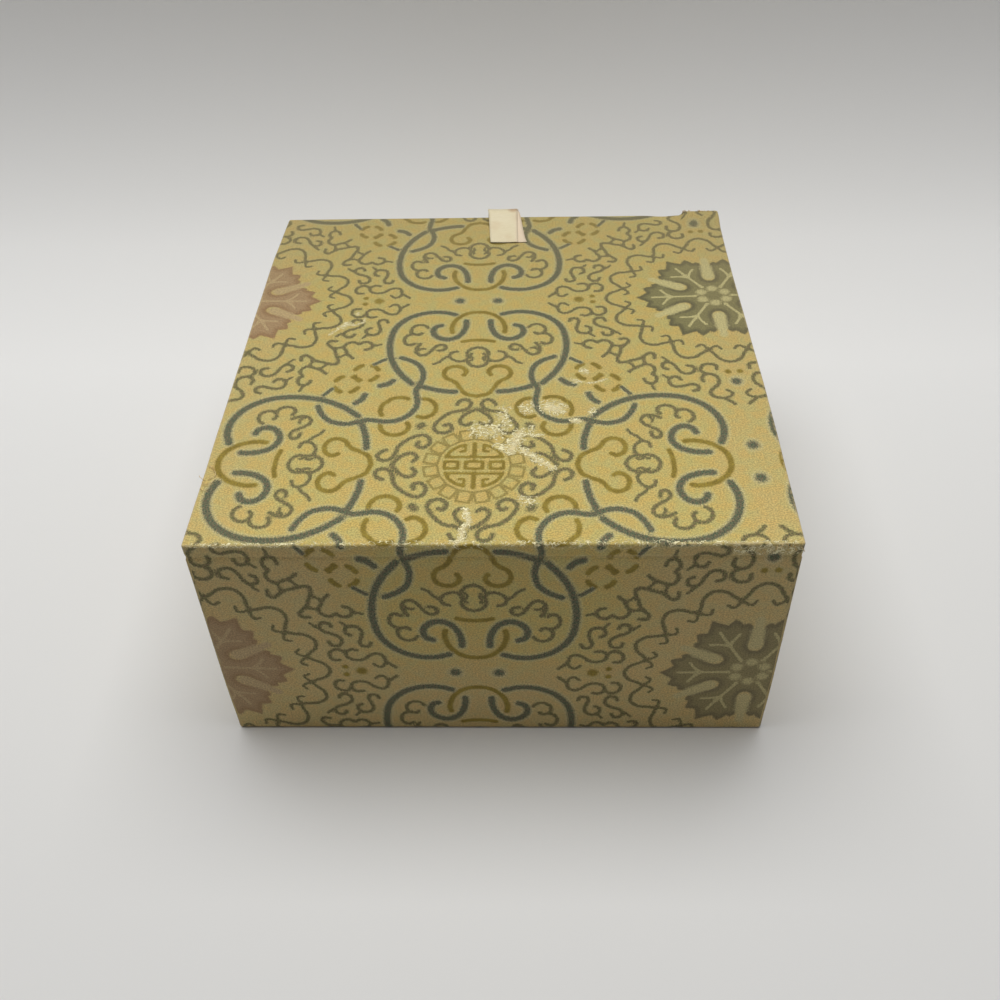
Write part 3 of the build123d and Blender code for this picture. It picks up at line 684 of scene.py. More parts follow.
def silk_brocade():
    """The woven silk: a speckled gold ground with the figure's threads over it, then its rubbed places,
    where pale threads of the backing show, and its worn folds."""
    material, tree, shader = new_material("silk brocade", 0.75)
    cloth = read(tree, "cloth", "Vector")
    speckle = grain(tree, cloth, 0.26, 1.0, (1.3, 1.0, 1.0))
    ribs = grain(tree, cloth, 0.3, 1.0, (1.0, 2.2, 1.0))
    dye = grain(tree, cloth, 2.4, 2.0)
    blotches = grain(tree, cloth, 8.0, 2.0)
    ragged = times(tree, plus(tree, ribs, -0.5), 0.8)

    ground = mixed(tree, ramp(tree, dye, 0.35, 0.65), linear(196, 171, 94), linear(187, 174, 104))
    ground = mixed(tree, ramp(tree, blotches, 0.4, 0.7, 0.0, 0.5), ground, linear(200, 170, 98))
    beside_cord = ramp(tree, thread_distance(tree, CORD), 1.1, 2.2, 0.6, 0.0)
    beside_scroll = ramp(tree, thread_distance(tree, SCROLL), 1.2, 2.6, 0.4, 0.0)
    halo = math_of(tree, "MAXIMUM", beside_cord, beside_scroll)
    ground = mixed(tree, halo, ground, linear(187, 178, 114))

    def thread(under, kind, first, second, softness, strength=1.0, rough=1.0):
        """Lay one kind of thread over what is under it, in a colour that drifts between two."""
        distance = plus(tree, thread_distance(tree, kind), times(tree, ragged, rough))
        cover = ramp(tree, distance, 1 - softness, 1 + softness, strength, 0.0)
        drift = ribs if kind in (CORD, SCROLL) else dye
        colour = mixed(tree, ramp(tree, drift, 0.35, 0.65), first, second)
        if kind in (CORD, SCROLL):
            colour = scaled(tree, colour, ramp(tree, speckle, 0.3, 0.7, 0.72, 1.32))
        return mixed(tree, cover, under, colour), cover

    # Petals have a darker rim. Flowers are reddish to the left of the medallion, and olive to the right.
    petal_edge = plus(tree, read(tree, "petal", "Fac"), times(tree, ragged, 0.6))
    warm = read(tree, "warm", "Fac")
    rim_colour = mixed(tree, warm, linear(92, 87, 52), linear(148, 114, 74))
    inner_colour = mixed(tree, warm, linear(124, 118, 72), linear(166, 136, 96))
    petal_colour = mixed(tree, ramp(tree, petal_edge, -1.6, -0.4), inner_colour, rim_colour)
    vein_colour = mixed(tree, warm, linear(198, 188, 130), linear(188, 162, 116))

    # A pale grey tint lies over the ground, the petals and their veins, and leaves the darker threads
    grey_tint = times(tree, read(tree, "grey_tint", "Fac"), 0.32)
    ground = mixed(tree, grey_tint, ground, linear(186, 160, 134))
    petal_colour = mixed(tree, grey_tint, petal_colour, linear(146, 126, 92))
    vein_colour = mixed(tree, grey_tint, vein_colour, linear(150, 132, 104))

    figure = mixed(tree, ramp(tree, petal_edge, -0.25, 0.25, 1.0, 0.0), ground, petal_colour)
    figure, _ = thread(figure, VEIN, vein_colour, vein_colour, 0.4, 0.9)
    figure, _ = thread(figure, FRET, linear(134, 118, 52), linear(142, 126, 60), 0.5, 0.85)
    figure, gilt_cover = thread(figure, GILT, linear(126, 107, 20), linear(142, 122, 34), 0.45)
    figure, scroll_cover = thread(figure, SCROLL, linear(100, 99, 54), linear(114, 98, 62), 0.55, rough=1.9)
    figure, cord_cover = thread(figure, CORD, linear(74, 87, 60), linear(102, 91, 66), 0.42, rough=1.2)

    # Pale flecks of warp show along the edges of the cords, and the whole cloth is speckled
    flecks = ramp(tree, grain(tree, cloth, 0.17, 1.0), 0.52, 0.64)
    along_cord = ramp(tree, away_from(tree, thread_distance(tree, CORD), 1.15), 0.2, 0.6, 0.8, 0.0)
    figure = mixed(tree, times(tree, flecks, along_cord), figure, linear(206, 196, 156))
    figure = scaled(tree, figure, ramp(tree, speckle, 0.3, 0.7, 0.73, 1.25))

    # Rubbed places: pale weft shows through, and loose ends curl over it, with painted shadow beside them
    tatter = grain(tree, cloth, 0.9, 4.0)
    weft = grain(tree, cloth, 0.2, 1.0, (5.0, 1.0, 1.0))
    curls = away_from(tree, grain(tree, cloth, 1.5, 2.0), 0.5)
    strays = away_from(tree, grain(tree, cloth, 1.1, 1.5, (1.8, 1.0, 1.0)), 0.46)
    curls = math_of(tree, "MINIMUM", curls, strays)
    rubbed = plus(tree, read(tree, "wear", "Fac"), times(tree, plus(tree, tatter, -0.5), 1.5))
    bare = ramp(tree, rubbed, 0.05, 0.6, 0.0, 0.85)
    pale = mixed(tree, ramp(tree, weft, 0.38, 0.62), linear(172, 152, 88), linear(240, 226, 158))
    pale = mixed(tree, ramp(tree, rubbed, 0.5, 1.1, 0.0, 0.7), pale, linear(240, 224, 178))
    figure = mixed(tree, bare, figure, pale)
    # Painted shadow: the ground is darkened beside the loose ends, as if they cast shade on it
    shadow_beside_curls = ramp(tree, curls, 0.015, 0.05, 0.6, 0.0)
    painted_shadow_beside_ends = times(tree, shadow_beside_curls, ramp(tree, rubbed, -0.1, 0.3))
    on_curls = ramp(tree, curls, 0.01, 0.028, 1.0, 0.0)
    ends = times(tree, on_curls, ramp(tree, rubbed, -0.15, 0.15))
    figure = mixed(tree, painted_shadow_beside_ends, figure, linear(122, 108, 54))
    figure = mixed(tree, ends, figure, linear(252, 243, 196))

    # Folds: pale where they are level, partly a painted highlight along the rounded edges and partly wear;
    # grey where they are upright
    fold = read(tree, "fold", "Fac")
    scuffs = ramp(tree, tatter, 0.35, 0.6)
    fold_highlight_and_wear = times(tree, times(tree, fold, 0.7), scuffs, clamp=True)
    upright_fold = times(tree, times(tree, fold, -0.8), scuffs, clamp=True)
    figure = mixed(tree, fold_highlight_and_wear, figure, linear(214, 194, 146))
    figure = mixed(tree, upright_fold, figure, linear(150, 142, 118))

    # The cloth has faded towards the tab. Painted light: the lid is lighter towards its near edge and darker
    # towards the tab, in place of the silk's sheen, and the sides are lighter towards their foot, as the
    # light falls on them
    faded = ramp(tree, part_of(tree, cloth, "Y"), 10, 60, 0.0, 0.22)
    figure = mixed(tree, faded, figure, linear(176, 158, 106))
    figure = scaled(tree, figure, read(tree, "shade", "Fac"))
    feed(tree, shader.inputs["Base Color"], figure)

    relief = plus(tree, times(tree, ribs, 0.5), times(tree, speckle, 0.4))
    for raised, height in ((cord_cover, 0.5), (scroll_cover, 0.5), (gilt_cover, 0.5), (ends, 0.7)):
        relief = plus(tree, relief, times(tree, raised, height))
    bumped(tree, shader, relief, 0.1 * mm)
    shader.inputs["Sheen Weight"].default_value = 0.05
    shader.inputs["Sheen Roughness"].default_value = 0.5
    return material


brocade = silk_brocade()


def cut_brocade(name, points, cloth, folds, faces, body=None):
    """A piece of brocade with its part of the figure, riding on a body."""
    keep, faces = weld(points, faces)
    piece = new_piece(name, points[keep], faces, brocade)
    cloth = cloth[keep]
    threads, petal, warm = woven_figure(cloth)
    for kind, field in threads.items():
        mark(piece, kind, field[:, :3])
    mark(piece, "petal", petal)
    mark(piece, "warm", warm)
    mark(piece, "wear", wear(cloth))
    mark(piece, "fold", folds[keep])
    x, y, z = points[keep].T

    # The sides are tinted grey most towards their ends and foot, and the lid a little at its left and right
    # edges
    upright = np.clip((lid_top - 0.15 - z) / 0.5, 0, 1)
    tinted = np.clip(0.15 + smooth_step((np.abs(x) - 16) / 24) + smooth_step((34 - z) / 26), 0, 1)
    mark(piece, "grey_tint", np.maximum(upright * tinted, 0.35 * smooth_step((np.abs(x) - 38) / 14)))
    # Painted light: the lid is lighter towards its near edge and darker towards the tab, in place of the
    # silk's sheen; the sides are lighter towards their foot and set brighter than the lid, for how the light
    # falls on them
    painted_sheen_on_lid = 0.9 - 0.0025 * y
    painted_light_on_sides = 1.05 - 0.002 * z
    mark(piece, "shade", painted_sheen_on_lid + (painted_light_on_sides - painted_sheen_on_lid) * upright)
    mark(piece, "cloth", np.column_stack([cloth, np.zeros(len(cloth))]))
    if body:
        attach(piece, body)
    return piece


# Brocade on the three free walls: one strip each, glued up the outside from under the floor, over the rim
# and down inside under the lining. Neighbours meet at the corners.

# Rows of the cloth's mesh, which are further apart in the hems
row_spacing = 0.42
hem_spacing = 1.2
box_half = (half_width, half_depth)
columns = int(2 * (half_width - corner_radius) / row_spacing)
rows = int(2 * (half_depth - corner_radius) / row_spacing)
around_box = stations(columns, rows)

# How far the cloth is turned over, how round its folds are, and how uneven it lies
floor_turn = 12.0
floor_fold = 0.35
rim_fold = 0.45
wall_thickness = 3.3
rim_turn = 8.0
cloth_waves = 0.12

foot = bend(floor_fold, cloth_bottom + floor_fold, floor_fold, 0, -90)
under_floor = (floor_turn, cloth_bottom, -90)
foot_and_hem = [*foot, *straight(foot[-1], under_floor, hem_spacing), under_floor]
inside_end = (wall_thickness, rim - rim_turn, 180)
inner_rim = bend(wall_thickness - rim_fold, rim - rim_fold, rim_fold, 180, 90)
outer_rim = bend(rim_fold, rim - rim_fold, rim_fold, 90, 0)
wall_profile = [inside_end, *straight(inside_end, inner_rim[0], hem_spacing), *inner_rim,
                *straight(inner_rim[-1], outer_rim[0], hem_spacing), *outer_rim,
                *straight(outer_rim[-1], foot[0], row_spacing), *foot_and_hem]
wall_points, _, wall_folds, wall_faces, wall_sides = wrap(wall_profile, around_box, box_half, corner_radius,
                                                          cloth_waves)
wall_points[:, 0] += bulge(wall_points)

# The walls' strip was cut from the cloth on its own, so its figure doesn't follow the lid's
wall_strips = {
    "opening": (OPENING_SIDE, (-1, 0), (0.0, 8.0), half_width),
    "left": (LEFT_SIDE, (0, -1), (-58.0, 8.0), half_depth),
    "right": (RIGHT_SIDE, (0, 1), (57.0, 8.0), half_depth),
}
for side, (number, along, start, half_length) in wall_strips.items():
    run = wall_points[:, 0] * along[0] + wall_points[:, 1] * along[1]
    wall_cloth = np.column_stack([start[0] + run, start[1] + wall_points[:, 2]])
    cover = cut_brocade(f"{side}_wall_cover", wall_points, wall_cloth, wall_folds,
                        wall_faces[wall_sides == number], "base")
    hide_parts(f"{side}_wall_brocade")

# Sheet of backing paper, glued under the floor over the turned edges of the brocade. The box stands on it.
# It is plain yellowish paper, with the pulp showing.
paper_material, paper_tree, paper_shader = new_material("backing paper", 0.9)
pulp = grain(paper_tree, place_on_piece(paper_tree), 1.5 * mm, 4.0)
feed(paper_tree, paper_shader.inputs["Base Color"],
     mixed(paper_tree, pulp, linear(196, 182, 142), linear(214, 202, 166)))
bumped(paper_tree, paper_shader, pulp, 0.03 * mm)
dress_solid("underside_paper", paper_material)

# Linings: satin drawn over thin card and glued inside each wall, a little below the rim.
# The satin is stretched smooth over soft rounded edges.


def cream_satin():
    """Bright threads close together, with soft darker patches."""
    material, tree, shader = new_material("cream satin", 0.42)
    place = place_on_piece(tree)
    threads = grain(tree, place, 0.35 * mm, 2.0, (1.0, 6.0, 1.0))
    patches = ramp(tree, grain(tree, place, 14 * mm, 2.0), 0.35, 0.7, 0.0, 0.4)
    colour = mixed(tree, threads, linear(206, 186, 134), linear(226, 209, 162))
    feed(tree, shader.inputs["Base Color"], mixed(tree, patches, colour, linear(214, 194, 140)))
    bumped(tree, shader, threads, 0.03 * mm)
    shader.inputs["Sheen Weight"].default_value = 0.3
    shader.inputs["Sheen Roughness"].default_value = 0.4
    return material


satin = cream_satin()


def grid_faces(columns, rows):
    """The faces between the points of a grid, which run up its columns."""
    i, j = np.meshgrid(np.arange(columns), np.arange(rows), indexing="ij")
    first = (i * (rows + 1) + j).ravel()
    return np.stack([first, first + rows + 1, first + rows + 2, first + 1], -1)


def level_sheet(columns, rows, half, corner, height, waves=0.0):
    """The level cloth inside the first or last ring of a wrap."""
    x = np.linspace(-1, 1, columns + 1) * (half[0] - corner)
    y = np.linspace(-1, 1, rows + 1) * (half[1] - corner)
    grid_x, grid_y = np.meshgrid(x, y, indexing="ij")
    points = np.stack([grid_x.ravel(), grid_y.ravel(), np.full(grid_x.size, float(height))], -1)
    points[:, 2] += waves * unevenness(points)
    return points, grid_faces(columns, rows)


def covered_slab(half, thickness, corner, edge, spacing, puff=0.0, gather=0.0):
    """A closed cloth-covered slab, lying face up with its middle at the origin. Its upper edge is rounded.
    Puff is how much its face swells, and gather how deep the cloth's creases beside the edge are."""
    lower_edge = 0.2
    creased_at, creased_width = 3, 2.5
    columns_here = int(2 * (half[0] - corner) / spacing)
    rows_here = int(2 * (half[1] - corner) / spacing)
    places = stations(columns_here, rows_here)
    top, bottom = thickness / 2, -thickness / 2
    upper = bend(edge, top - edge, edge, 90, 0)
    lower = bend(lower_edge, bottom + lower_edge, lower_edge, 0, -90, 2)
    inner_top, inner_bottom = (corner, top, 90), (corner, bottom, -90)
    profile = [inner_top, *straight(inner_top, upper[0], spacing), *upper,
               *straight(upper[-1], lower[0], spacing), *lower, inner_bottom]
    ring_points, _, _, ring_faces, _ = wrap(profile, places, half, corner)
    face, face_faces = level_sheet(columns_here, rows_here, half, corner, top)
    back, back_faces = level_sheet(columns_here, rows_here, half, corner, bottom)
    points = np.vstack([ring_points, face, back])
    faces = np.vstack([ring_faces, face_faces + len(ring_points),
                       back_faces[:, ::-1] + len(ring_points) + len(face)])
    rise = (1 - np.abs(points[:, 0] / half[0]) ** 5) * (1 - np.abs(points[:, 1] / half[1]) ** 5)
    creases = np.sin(points[:, 0] * 1.3) * np.sin(points[:, 1] * 1.3 + 0.5)
    from_edge = np.minimum(*(half - np.abs(points[:, :2])).T)
    near_edge = hump(from_edge - creased_at, creased_width)
    upper_side = points[:, 2] > 0
    points[:, 2] += upper_side * (puff * (np.clip(rise, 0, 1) - 1) + gather * creases * near_edge)
    keep, faces = weld(points, faces)
    return points[keep], faces


for side in ("hinge", "opening", "left", "right"):
    low, high = corners_of(f"{side}_wall_lining")
    size = high - low
    along = 0 if side in ("hinge", "opening") else 1
    across = 1 - along
    panel_half = (size[along] / 2, size[2] / 2)
    flat_panel, panel_faces = covered_slab(panel_half, size[across], corner=0.6, edge=0.5, spacing=1.6)
    points = np.zeros_like(flat_panel)
    inward = 1 if side in ("hinge", "left") else -1
    turned = inward if along == 1 else -inward
    points[:, along] = flat_panel[:, 0] * turned
    points[:, across] = flat_panel[:, 2] * inward
    points[:, 2] = flat_panel[:, 1]
    panel = new_piece(f"{side}_lining_panel", points + (low + high) / 2, panel_faces, satin)
    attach(panel, "base")
    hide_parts(f"{side}_wall_lining")

# Floor pad: wadding on a card, with satin drawn over both and glued under the card.
# It lies loose between the linings, and is softly rounded.
thin_card = pressed_board("thin card", linear(190, 182, 164), linear(160, 152, 136))
dress_solid("floor_card", thin_card)
pad_low, pad_high = corners_of("floor_satin")
pad_size = pad_high - pad_low
pad_points, pad_faces = covered_slab(pad_size[:2] / 2, pad_size[2], corner=4.0, edge=2.8, spacing=0.9,
                                     puff=0.7, gather=0.12)
floor_pad = new_piece("floor_pad", pad_points + (pad_low + pad_high) / 2, pad_faces, satin)
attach(floor_pad, "base")
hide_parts("floor_satin", "floor_wadding", "floor_card")

# Lid board, then the brocade over it: glued on the top, down over its edges, and turned under on three
# sides. On the hinge side it runs on down the wall, as the next piece.
lid_fold = 0.45
lid_lower_fold = 0.45
lid_turn = 11.0
band_top = corners_of("hinge_brocade")[1][2]

seam = (rim + lid_underside) / 2


def drawn_in(points):
    """How far the cloth is drawn in towards the seam on the hinge side."""
    y, z = points[:, 1], points[:, 2]
    on_hinge_side = np.clip(1.5 - half_depth - y, 0, 1)
    lid_edge_low = lid_top - lid_fold
    above_seam = (lid_edge_low - z) / (lid_edge_low - seam)
    below_seam = hump(seam - z, 0.5)
    slope = np.where(z > seam, above_seam, below_seam)
    groove = hump(z - seam, 0.3)
    return on_hinge_side * (0.12 * np.clip(slope, 0, 1) + 0.15 * groove)


lid_edge = bend(lid_fold, lid_top - lid_fold, lid_fold, 90, 0)
lid_start = (corner_radius, lid_top, 90)
band_line = (0.0, band_top, 0)
lid_lower = bend(lid_lower_fold, lid_underside + lid_lower_fold, lid_lower_fold, 0, -90)
under_lid = (lid_turn, lid_underside, -90)
upper_part = [lid_start, *lid_edge, *straight(lid_edge[-1], band_line, row_spacing), band_line]
lower_part = [*straight(band_line, lid_lower[0], row_spacing), *lid_lower,
              *straight(lid_lower[-1], under_lid, hem_spacing), under_lid]
lid_points, lid_cloth, lid_folds, lid_faces, lid_sides = wrap(upper_part + lower_part, around_box, box_half,
                                                              corner_radius, cloth_waves)
below_band = np.arange(len(lid_faces)) // len(around_box) >= len(upper_part) - 1
lid_faces = lid_faces[~(below_band & (lid_sides == HINGE_SIDE))]
sheet_points, sheet_faces = level_sheet(columns, rows, box_half, corner_radius, lid_top, cloth_waves)
cover_points = np.vstack([lid_points, sheet_points])
cover_cloth = np.vstack([lid_cloth, sheet_points[:, :2]])
cover_bulge = bulge(cover_points)
cover_cloth[:, 0] += cover_bulge

# The corner beside the tab has come loose and stands up a little, and the edge beside it sags
loose = smooth_step((cover_points[:, 0] - 45.3) / 1.5) * smooth_step((cover_points[:, 1] - 52) / 5)
loose *= np.clip((cover_points[:, 2] - lid_underside) / lid_fold, 0, 1)
sag = hump(cover_points[:, 0] - 41, 3) * smooth_step((cover_points[:, 1] - 54) / 4)
cover_points += np.column_stack([cover_bulge, 0.3 * loose + drawn_in(cover_points), 0.9 * loose - 0.3 * sag])
lid_cover = cut_brocade("lid_cover", cover_points, cover_cloth,
                        np.concatenate([lid_folds, np.zeros(len(sheet_points))]),
                        np.vstack([lid_faces, sheet_faces + len(lid_points)]), "lid")
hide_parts("lid_brocade")

# Hinge: the same cloth as the lid's top runs down over the seam and the hinge wall and is turned under the
# floor. Where it crosses the seam it isn't glued, and is drawn in a little.
band_start = (0.0, band_top, 0)
hinge_profile = [band_start, *straight(band_start, foot[0], row_spacing * 0.9), *foot_and_hem]
hinge_points, hinge_cloth, hinge_folds, hinge_faces, hinge_sides = wrap(
    hinge_profile, around_box, box_half, corner_radius, cloth_waves)
hinge_bulge = bulge(hinge_points)
hinge_points[:, 0] += hinge_bulge
hinge_points[:, 1] += drawn_in(hinge_points)
on_crease = hump(hinge_points[:, 2] - seam, 0.25) * (hinge_folds >= 0)
crease_wear = 0.5 + 0.5 * smooth_step((hinge_points[:, 0] - 5) / 20)
hinge_folds = np.maximum(hinge_folds, 0.8 * on_crease * crease_wear * (hinge_points[:, 2] < seam + 1))
band_run = half_depth - corner_radius + math.pi / 2 * lid_fold + (lid_top - lid_fold - band_top)
hinge_cloth[:, 0] += hinge_bulge
hinge_cloth[:, 1] -= band_run - (half_depth - corner_radius)
hinge_cover = cut_brocade("hinge_cover", hinge_points, hinge_cloth, hinge_folds,
                          hinge_faces[hinge_sides == HINGE_SIDE])
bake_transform(hinge_cover)
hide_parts("hinge_brocade", "hinge_wall_brocade")

# Strip of satin inside the hinge: glued to the wall's inner face, over the rim, and under the lid.
# It lies just off the boards all the way, so that no board shows through it.
strip_low, strip_high = corners_of("hinge_lining")
strip_half = strip_high[0]
strip_wall = -half_depth + wall_thickness - 0.28
strip_outer = strip_low[1]
strip_line = [(strip_wall, strip_low[2]), (strip_wall, rim - 0.55), (strip_wall - 0.32, rim - 0.2),
              (strip_outer + 0.5, rim - 0.2), (strip_outer + 0.15, rim), (strip_outer + 0.1, seam),
              (strip_outer + 0.15, lid_underside - 0.3), (strip_outer + 0.5, lid_underside - 0.12),
              (strip_high[1], lid_underside - 0.12)]
strip_path = []
for start, end in zip(strip_line[:-1], strip_line[1:]):
    shares = np.linspace(0, 1, max(int(math.dist(start, end) / 0.8), 2), endpoint=False)
    strip_path += [tuple(np.array(start) + (np.array(end) - start) * share) for share in shares]
strip_path.append(strip_line[-1])
strip_x = np.linspace(-strip_half, strip_half, 90)
points = [(x, y, z) for x in strip_x for y, z in strip_path]
strip_faces = grid_faces(len(strip_x) - 1, len(strip_path) - 1).tolist()
hinge_strip = new_piece("hinge_strip", points, strip_faces, satin)
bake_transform(hinge_strip)
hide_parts("hinge_lining")

# Lid pad: made as the floor pad is, but thinner. It hangs face down in the mouth of the box, and is glued
# to the lid by its card.
pad_low, pad_high = corners_of("lid_satin")
pad_size = pad_high - pad_low
glue_gap = 0.25
pad_points, pad_faces = covered_slab(pad_size[:2] / 2, pad_size[2] - glue_gap, corner=3.0, edge=1.8,
                                     spacing=0.9, puff=0.4, gather=0.08)
pad_points = pad_points * (1, -1, -1) + (pad_low + pad_high) / 2 + (0, 0, -glue_gap / 2)
lid_pad = new_piece("lid_pad", pad_points, pad_faces, satin)
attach(lid_pad, "lid")
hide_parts("lid_satin", "lid_wadding", "lid_card")

# Pull tab: a cream satin ribbon folded double. Its fold is glued under the lid, and its two ends come out
# round the lid's edge in an open bend and lie back on the lid, a little askew to one another.


def ribbon_satin():
    """Fine cream satin, a little stained, and pinkish where the ply underneath shows at the right."""
    material, tree, shader = new_material("ribbon", 0.5)
    place = place_on_piece(tree)
    weft = grain(tree, place, 0.28 * mm, 2.0, (5.0, 1.0, 1.0))
    stains = ramp(tree, grain(tree, place, 4.0 * mm, 3.0), 0.45, 0.75, 0.0, 0.4)
    pinkish = ramp(tree, part_of(tree, place, "X"), 3.0 * mm, 4.6 * mm, 0.0, 0.6)
    brown_spot = (2.9 * mm, 59.3 * mm, 58.2 * mm)
    on_spot = ramp(tree, vector_of(tree, "DISTANCE", place, brown_spot), 0.5 * mm, 2.0 * mm, 0.8, 0.0)
    colour = mixed(tree, weft, linear(210, 197, 160), linear(226, 215, 184))
    colour = mixed(tree, stains, colour, linear(206, 184, 146))
    colour = mixed(tree, pinkish, colour, linear(222, 198, 176))
    colour = mixed(tree, on_spot, colour, linear(176, 142, 106))
    feed(tree, shader.inputs["Base Color"], colour)
    bumped(tree, shader, weft, 0.04 * mm)
    shader.inputs["Sheen Weight"].default_value = 0.2
    return material


ribbon = ribbon_satin()

# Thickness of a ply, where the two plies' edges lie, and the gap between the plies in the bend
ply = 0.1
outer_edges = (-3.55, 3.95)
inner_edges = (-2.5, 4.2)
ply_gap = 0.08
root_low, root_high = corners_of("pull_tab_root")
tab_low, tab_high = corners_of("pull_tab")
bend_radius = (root_high[2] - root_low[2]) / 2
bend_middle = (root_high[1] - bend_radius, root_low[2] + bend_radius)
# The ribbon springs up a little in its bend
bend_rise = 0.7


def tube_faces(count, length):
    """The faces of a tube with open ends, which has some number of lines of points along it."""
    faces = []
    for i in range(count):
        here, following = i * length, (i + 1) % count * length
        faces += [(here + j, here + j + 1, following + j + 1, following + j) for j in range(length - 1)]
    return faces


def ribbon_strip(path, left, right, thickness, columns_here=12):
    """A ribbon that follows a path of depths and heights, with its left and right edges along it."""
    cupped = 0.06
    path = np.array(path)
    way = np.gradient(path, axis=0)
    normal = np.stack([-way[:, 1], way[:, 0]], -1) / np.linalg.norm(way, axis=1)[:, None]
    left = np.broadcast_to(left, len(path))
    right = np.broadcast_to(right, len(path))
    loop = []
    for side in (0.5, -0.5):
        shares = np.linspace(0, 1, columns_here)
        if side < 0:
            shares = shares[::-1]
        for share in shares:
            place = path + normal * (side * thickness + cupped * math.sin(math.pi * share))
            loop.append(np.column_stack([left + (right - left) * share, place]))
    points = np.vstack(loop)
    length = len(path)
    count = len(loop)
    faces = [face[::-1] for face in tube_faces(count, length)]
    faces.append([i * length for i in range(count)])
    faces.append([i * length + length - 1 for i in range(count)][::-1])
    return points, faces


def round_bend(radius):
    """The ribbon's way from its glued end, round the lid's edge, to the top of the bend."""
    level = bend_middle[1] - radius
    glued = [(y, level) for y in np.linspace(root_low[1], bend_middle[0], 20)[:-1]]
    arc = [(bend_middle[0] + radius * math.sin(t),
            bend_middle[1] + bend_rise / 2 - (radius + bend_rise / 2) * math.cos(t))
           for t in np.linspace(0, math.pi, 20)]
    return glued + arc


def lying_back(radius, rest, tip):
    """The ribbon's way from the top of the bend, down to the lid and along it to the tip."""
    top = (bend_middle[0], bend_middle[1] + radius + bend_rise)
    way = [(top[0], top[1]), (top[0] - 1.6, top[1] - 0.1), (top[0] - 4.0, (top[1] + 2 * rest) / 3 + 0.1),
           (top[0] - 7.5, rest + 0.05), (top[0] - 11.0, rest), (tip, rest + 0.05)]
    return curve(way, 5)


outer_radius = bend_radius - ply / 2
inner_radius = outer_radius - ply - ply_gap
root_parts = [
    ribbon_strip(round_bend(outer_radius), *outer_edges, ply),
    ribbon_strip(round_bend(inner_radius), *inner_edges, ply),
]


def joined(parts):
    """Several meshes as one."""
    points, faces = [], []
    for part_points, part_faces in parts:
        offset = sum(len(p) for p in points)
        points.append(part_points)
        faces += [[offset + c for c in face] for face in part_faces]
    return np.vstack(points), faces


ribbon_root = new_piece("ribbon_root", *joined(root_parts), ribbon)
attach(ribbon_root, "lid")
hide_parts("pull_tab_root")

# The two ends drift to the right towards the tip, the lower one more
tab_tip = tab_low[1] + 1.2
upper_way = lying_back(outer_radius, lid_top + 0.28, tab_tip)
lower_way = lying_back(inner_radius, lid_top + 0.13, tab_tip + 0.15)
drift = np.linspace(0, 1, len(upper_way))
tab_parts = [
    ribbon_strip(upper_way, outer_edges[0] + 0.95 * drift, outer_edges[1] + 0.25 * drift, ply),
    ribbon_strip(lower_way, inner_edges[0] + 1.4 * drift, inner_edges[1] + 2.2 * drift, ply),
]
ribbon_tab = new_piece("ribbon_tab", *joined(tab_parts), ribbon)
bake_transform(ribbon_tab)
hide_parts("pull_tab")

# Loose threads: silk that has frayed out of the brocade at the lid's corners and edges.
# They are thin round threads, caught in the weave at one end.
thread_material, thread_tree, thread_shader = new_material("loose silk", 0.7)
thread_dye = ramp(thread_tree, grain(thread_tree, place_on_piece(thread_tree), 1.2 * mm, 1.0), 0.4, 0.6)
feed(thread_tree, thread_shader.inputs["Base Color"],
     mixed(thread_tree, thread_dye, linear(180, 146, 84), linear(222, 198, 148)))
thread_radius = 0.06


def loose_thread(way):
    """A thin round thread along a way, with open ends."""
    way = np.array(way, float)
    ahead = np.gradient(way, axis=0)
    ahead /= np.linalg.norm(ahead, axis=1)[:, None]
    across = np.cross(ahead, (0.3, 0.5, 0.8))
    across /= np.linalg.norm(across, axis=1)[:, None]
    beside = np.cross(ahead, across)
    lines = [way + thread_radius * (across * math.cos(t) + beside * math.sin(t))
             for t in np.radians([0, 72, 144, 216, 288])]
    return np.vstack(lines), tube_faces(len(lines), len(way))


thread_ways = [
    curve([(-55.4, -41.5, 56.0), (-56.2, -41.1, 56.4), (-56.6, -40.4, 56.2)]),
    curve([(-55.4, -37.5, 56.15), (-54.2, -38.5, 56.5), (-53.5, -40.3, 56.3), (-54.6, -41.4, 56.2)]),
    curve([(-55.8, -41.9, 56.0), (-55.1, -43.0, 56.4), (-53.9, -42.6, 56.3), (-53.4, -41.2, 56.2)]),
    curve([(-55.8, -43.6, 55.9), (-55.0, -44.7, 56.4), (-54.2, -44.2, 56.2)]),
    curve([(54.9, -58.9, 55.2), (55.6, -59.2, 54.6), (55.9, -59.0, 53.9)]),
]
random = np.random.default_rng(7)
for _ in range(13):
    x = random.uniform(46, 55)
    root = np.array([x, 58.4, 56.8])
    lean = random.normal(0, 0.7)
    reach = random.uniform(0.5, 1.5)
    halfway = root + (0.5 * lean, 0.4 * reach, 0.3)
    thread_ways.append(curve([root, halfway, root + (lean, 0.7 * reach, 0.1 * reach)]))
for _ in range(5):
    x = random.uniform(50.5, 54.6)
    root = np.array([x, -58.9, random.uniform(55.0, 55.9)])
    drop = random.uniform(0.3, 0.9)
    halfway = root + (0.1, -0.35, -0.1 * drop)
    thread_ways.append(curve([root, halfway, root + (random.normal(0, 0.3), -0.5, -drop)]))
thread_parts = [loose_thread(way) for way in thread_ways]
loose_threads = new_piece("loose_threads", *joined(thread_parts), thread_material)
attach(loose_threads, "lid")

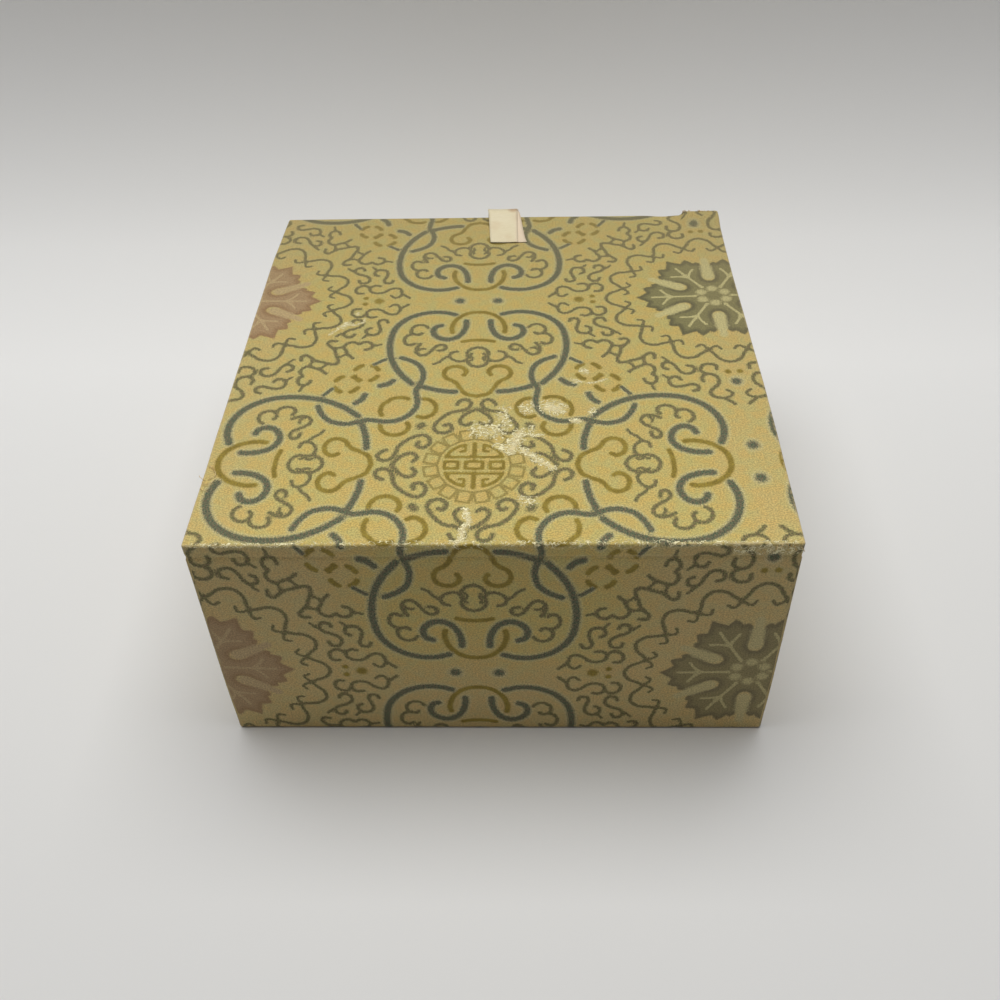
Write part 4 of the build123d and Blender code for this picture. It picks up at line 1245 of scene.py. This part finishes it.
# Floor and backdrop: one wide sheet of pale paper, which lies under the box and curves up behind it.
# It is matt, and takes the box's soft shadow.
backdrop_half_width = 1500
backdrop_front = -1200
backdrop_start = 70
cove_radius = 100
backdrop_lip = 20
backdrop_back = backdrop_start + cove_radius
backdrop_way = [(backdrop_front, 0), (backdrop_start, 0)]
backdrop_way += [(backdrop_start + cove_radius * math.sin(t), cove_radius * (1 - math.cos(t)))
                 for t in np.linspace(0, math.pi / 2, 24)[1:]]
backdrop_way.append((backdrop_back, cove_radius + backdrop_lip))
backdrop_points = [(x, y, z) for x in (-backdrop_half_width, backdrop_half_width) for y, z in backdrop_way]
paper_white, backdrop_tree, backdrop_shader = new_material("pale paper", 0.9)
feed(backdrop_tree, backdrop_shader.inputs["Base Color"], linear(226, 226, 226))
backdrop_faces = grid_faces(1, len(backdrop_way) - 1).tolist()
backdrop = new_piece("backdrop", backdrop_points, backdrop_faces, paper_white)

# Light: one wide soft window of light hangs above the box, in a room that gives a faint warm light
# from all round.
world = bpy.data.worlds.new("room")
bpy.context.scene.world = world
world.use_nodes = True
room = world.node_tree
room_light = room.nodes["Background"]
room_light.inputs["Color"].default_value = linear(255, 246, 238)
room_light.inputs["Strength"].default_value = 0.09

# Seen directly, or in or through something shiny, the room is as pale as the paper
room_seen = room.nodes.new("ShaderNodeBackground")
room_seen.inputs["Color"].default_value = linear(206, 206, 204)
room_seen.inputs["Strength"].default_value = 1.0
sight = room.nodes.new("ShaderNodeLightPath")
seen = sight.outputs["Is Camera Ray"]
for other_ray in ("Is Glossy Ray", "Is Transmission Ray"):
    seen = math_of(room, "MAXIMUM", seen, sight.outputs[other_ray])
either = room.nodes.new("ShaderNodeMixShader")
room.links.new(seen, either.inputs[0])
room.links.new(room_light.outputs[0], either.inputs[1])
room.links.new(room_seen.outputs[0], either.inputs[2])
room.links.new(either.outputs[0], room.nodes["World Output"].inputs["Surface"])

# The window's size in metres, and its light in watts
window = bpy.data.lights.new("window", "AREA")
window.shape = "RECTANGLE"
window.size = 0.99
window.size_y = 0.69
window.energy = 8.4
window.color = linear(255, 255, 253)[:3]
put_in_scene("window", window).location = (-0.063, 0.172, 0.865)

# Camera: held above the hinge side, and looking down at the box at the photograph's angle.
# Its place was worked out with the box's width as 1.
camera = bpy.data.cameras.new("camera")
camera.lens = 39.06
camera.sensor_width = 36.0
width_in_metres = 0.11
yaw, pitch, roll = math.radians(-2.33), math.radians(43.27), math.radians(-1.90)
forward = np.array([math.sin(yaw) * math.cos(pitch), math.cos(yaw) * math.cos(pitch), -math.sin(pitch)])
level_right = np.array([math.cos(yaw), -math.sin(yaw), 0])
level_up = np.cross(level_right, forward)
right = math.cos(roll) * level_right + math.sin(roll) * level_up
up = -math.sin(roll) * level_right + math.cos(roll) * level_up
place = np.eye(4)
place[:3, 0] = right
place[:3, 1] = up
place[:3, 2] = -forward
place[:3, 3] = np.array([0.067, -1.767, 1.768]) * width_in_metres
camera_object = put_in_scene("camera", camera)
camera_object.matrix_world = place.T.tolist()
bpy.context.scene.camera = camera_object
bpy.context.scene.view_settings.view_transform = "Standard"
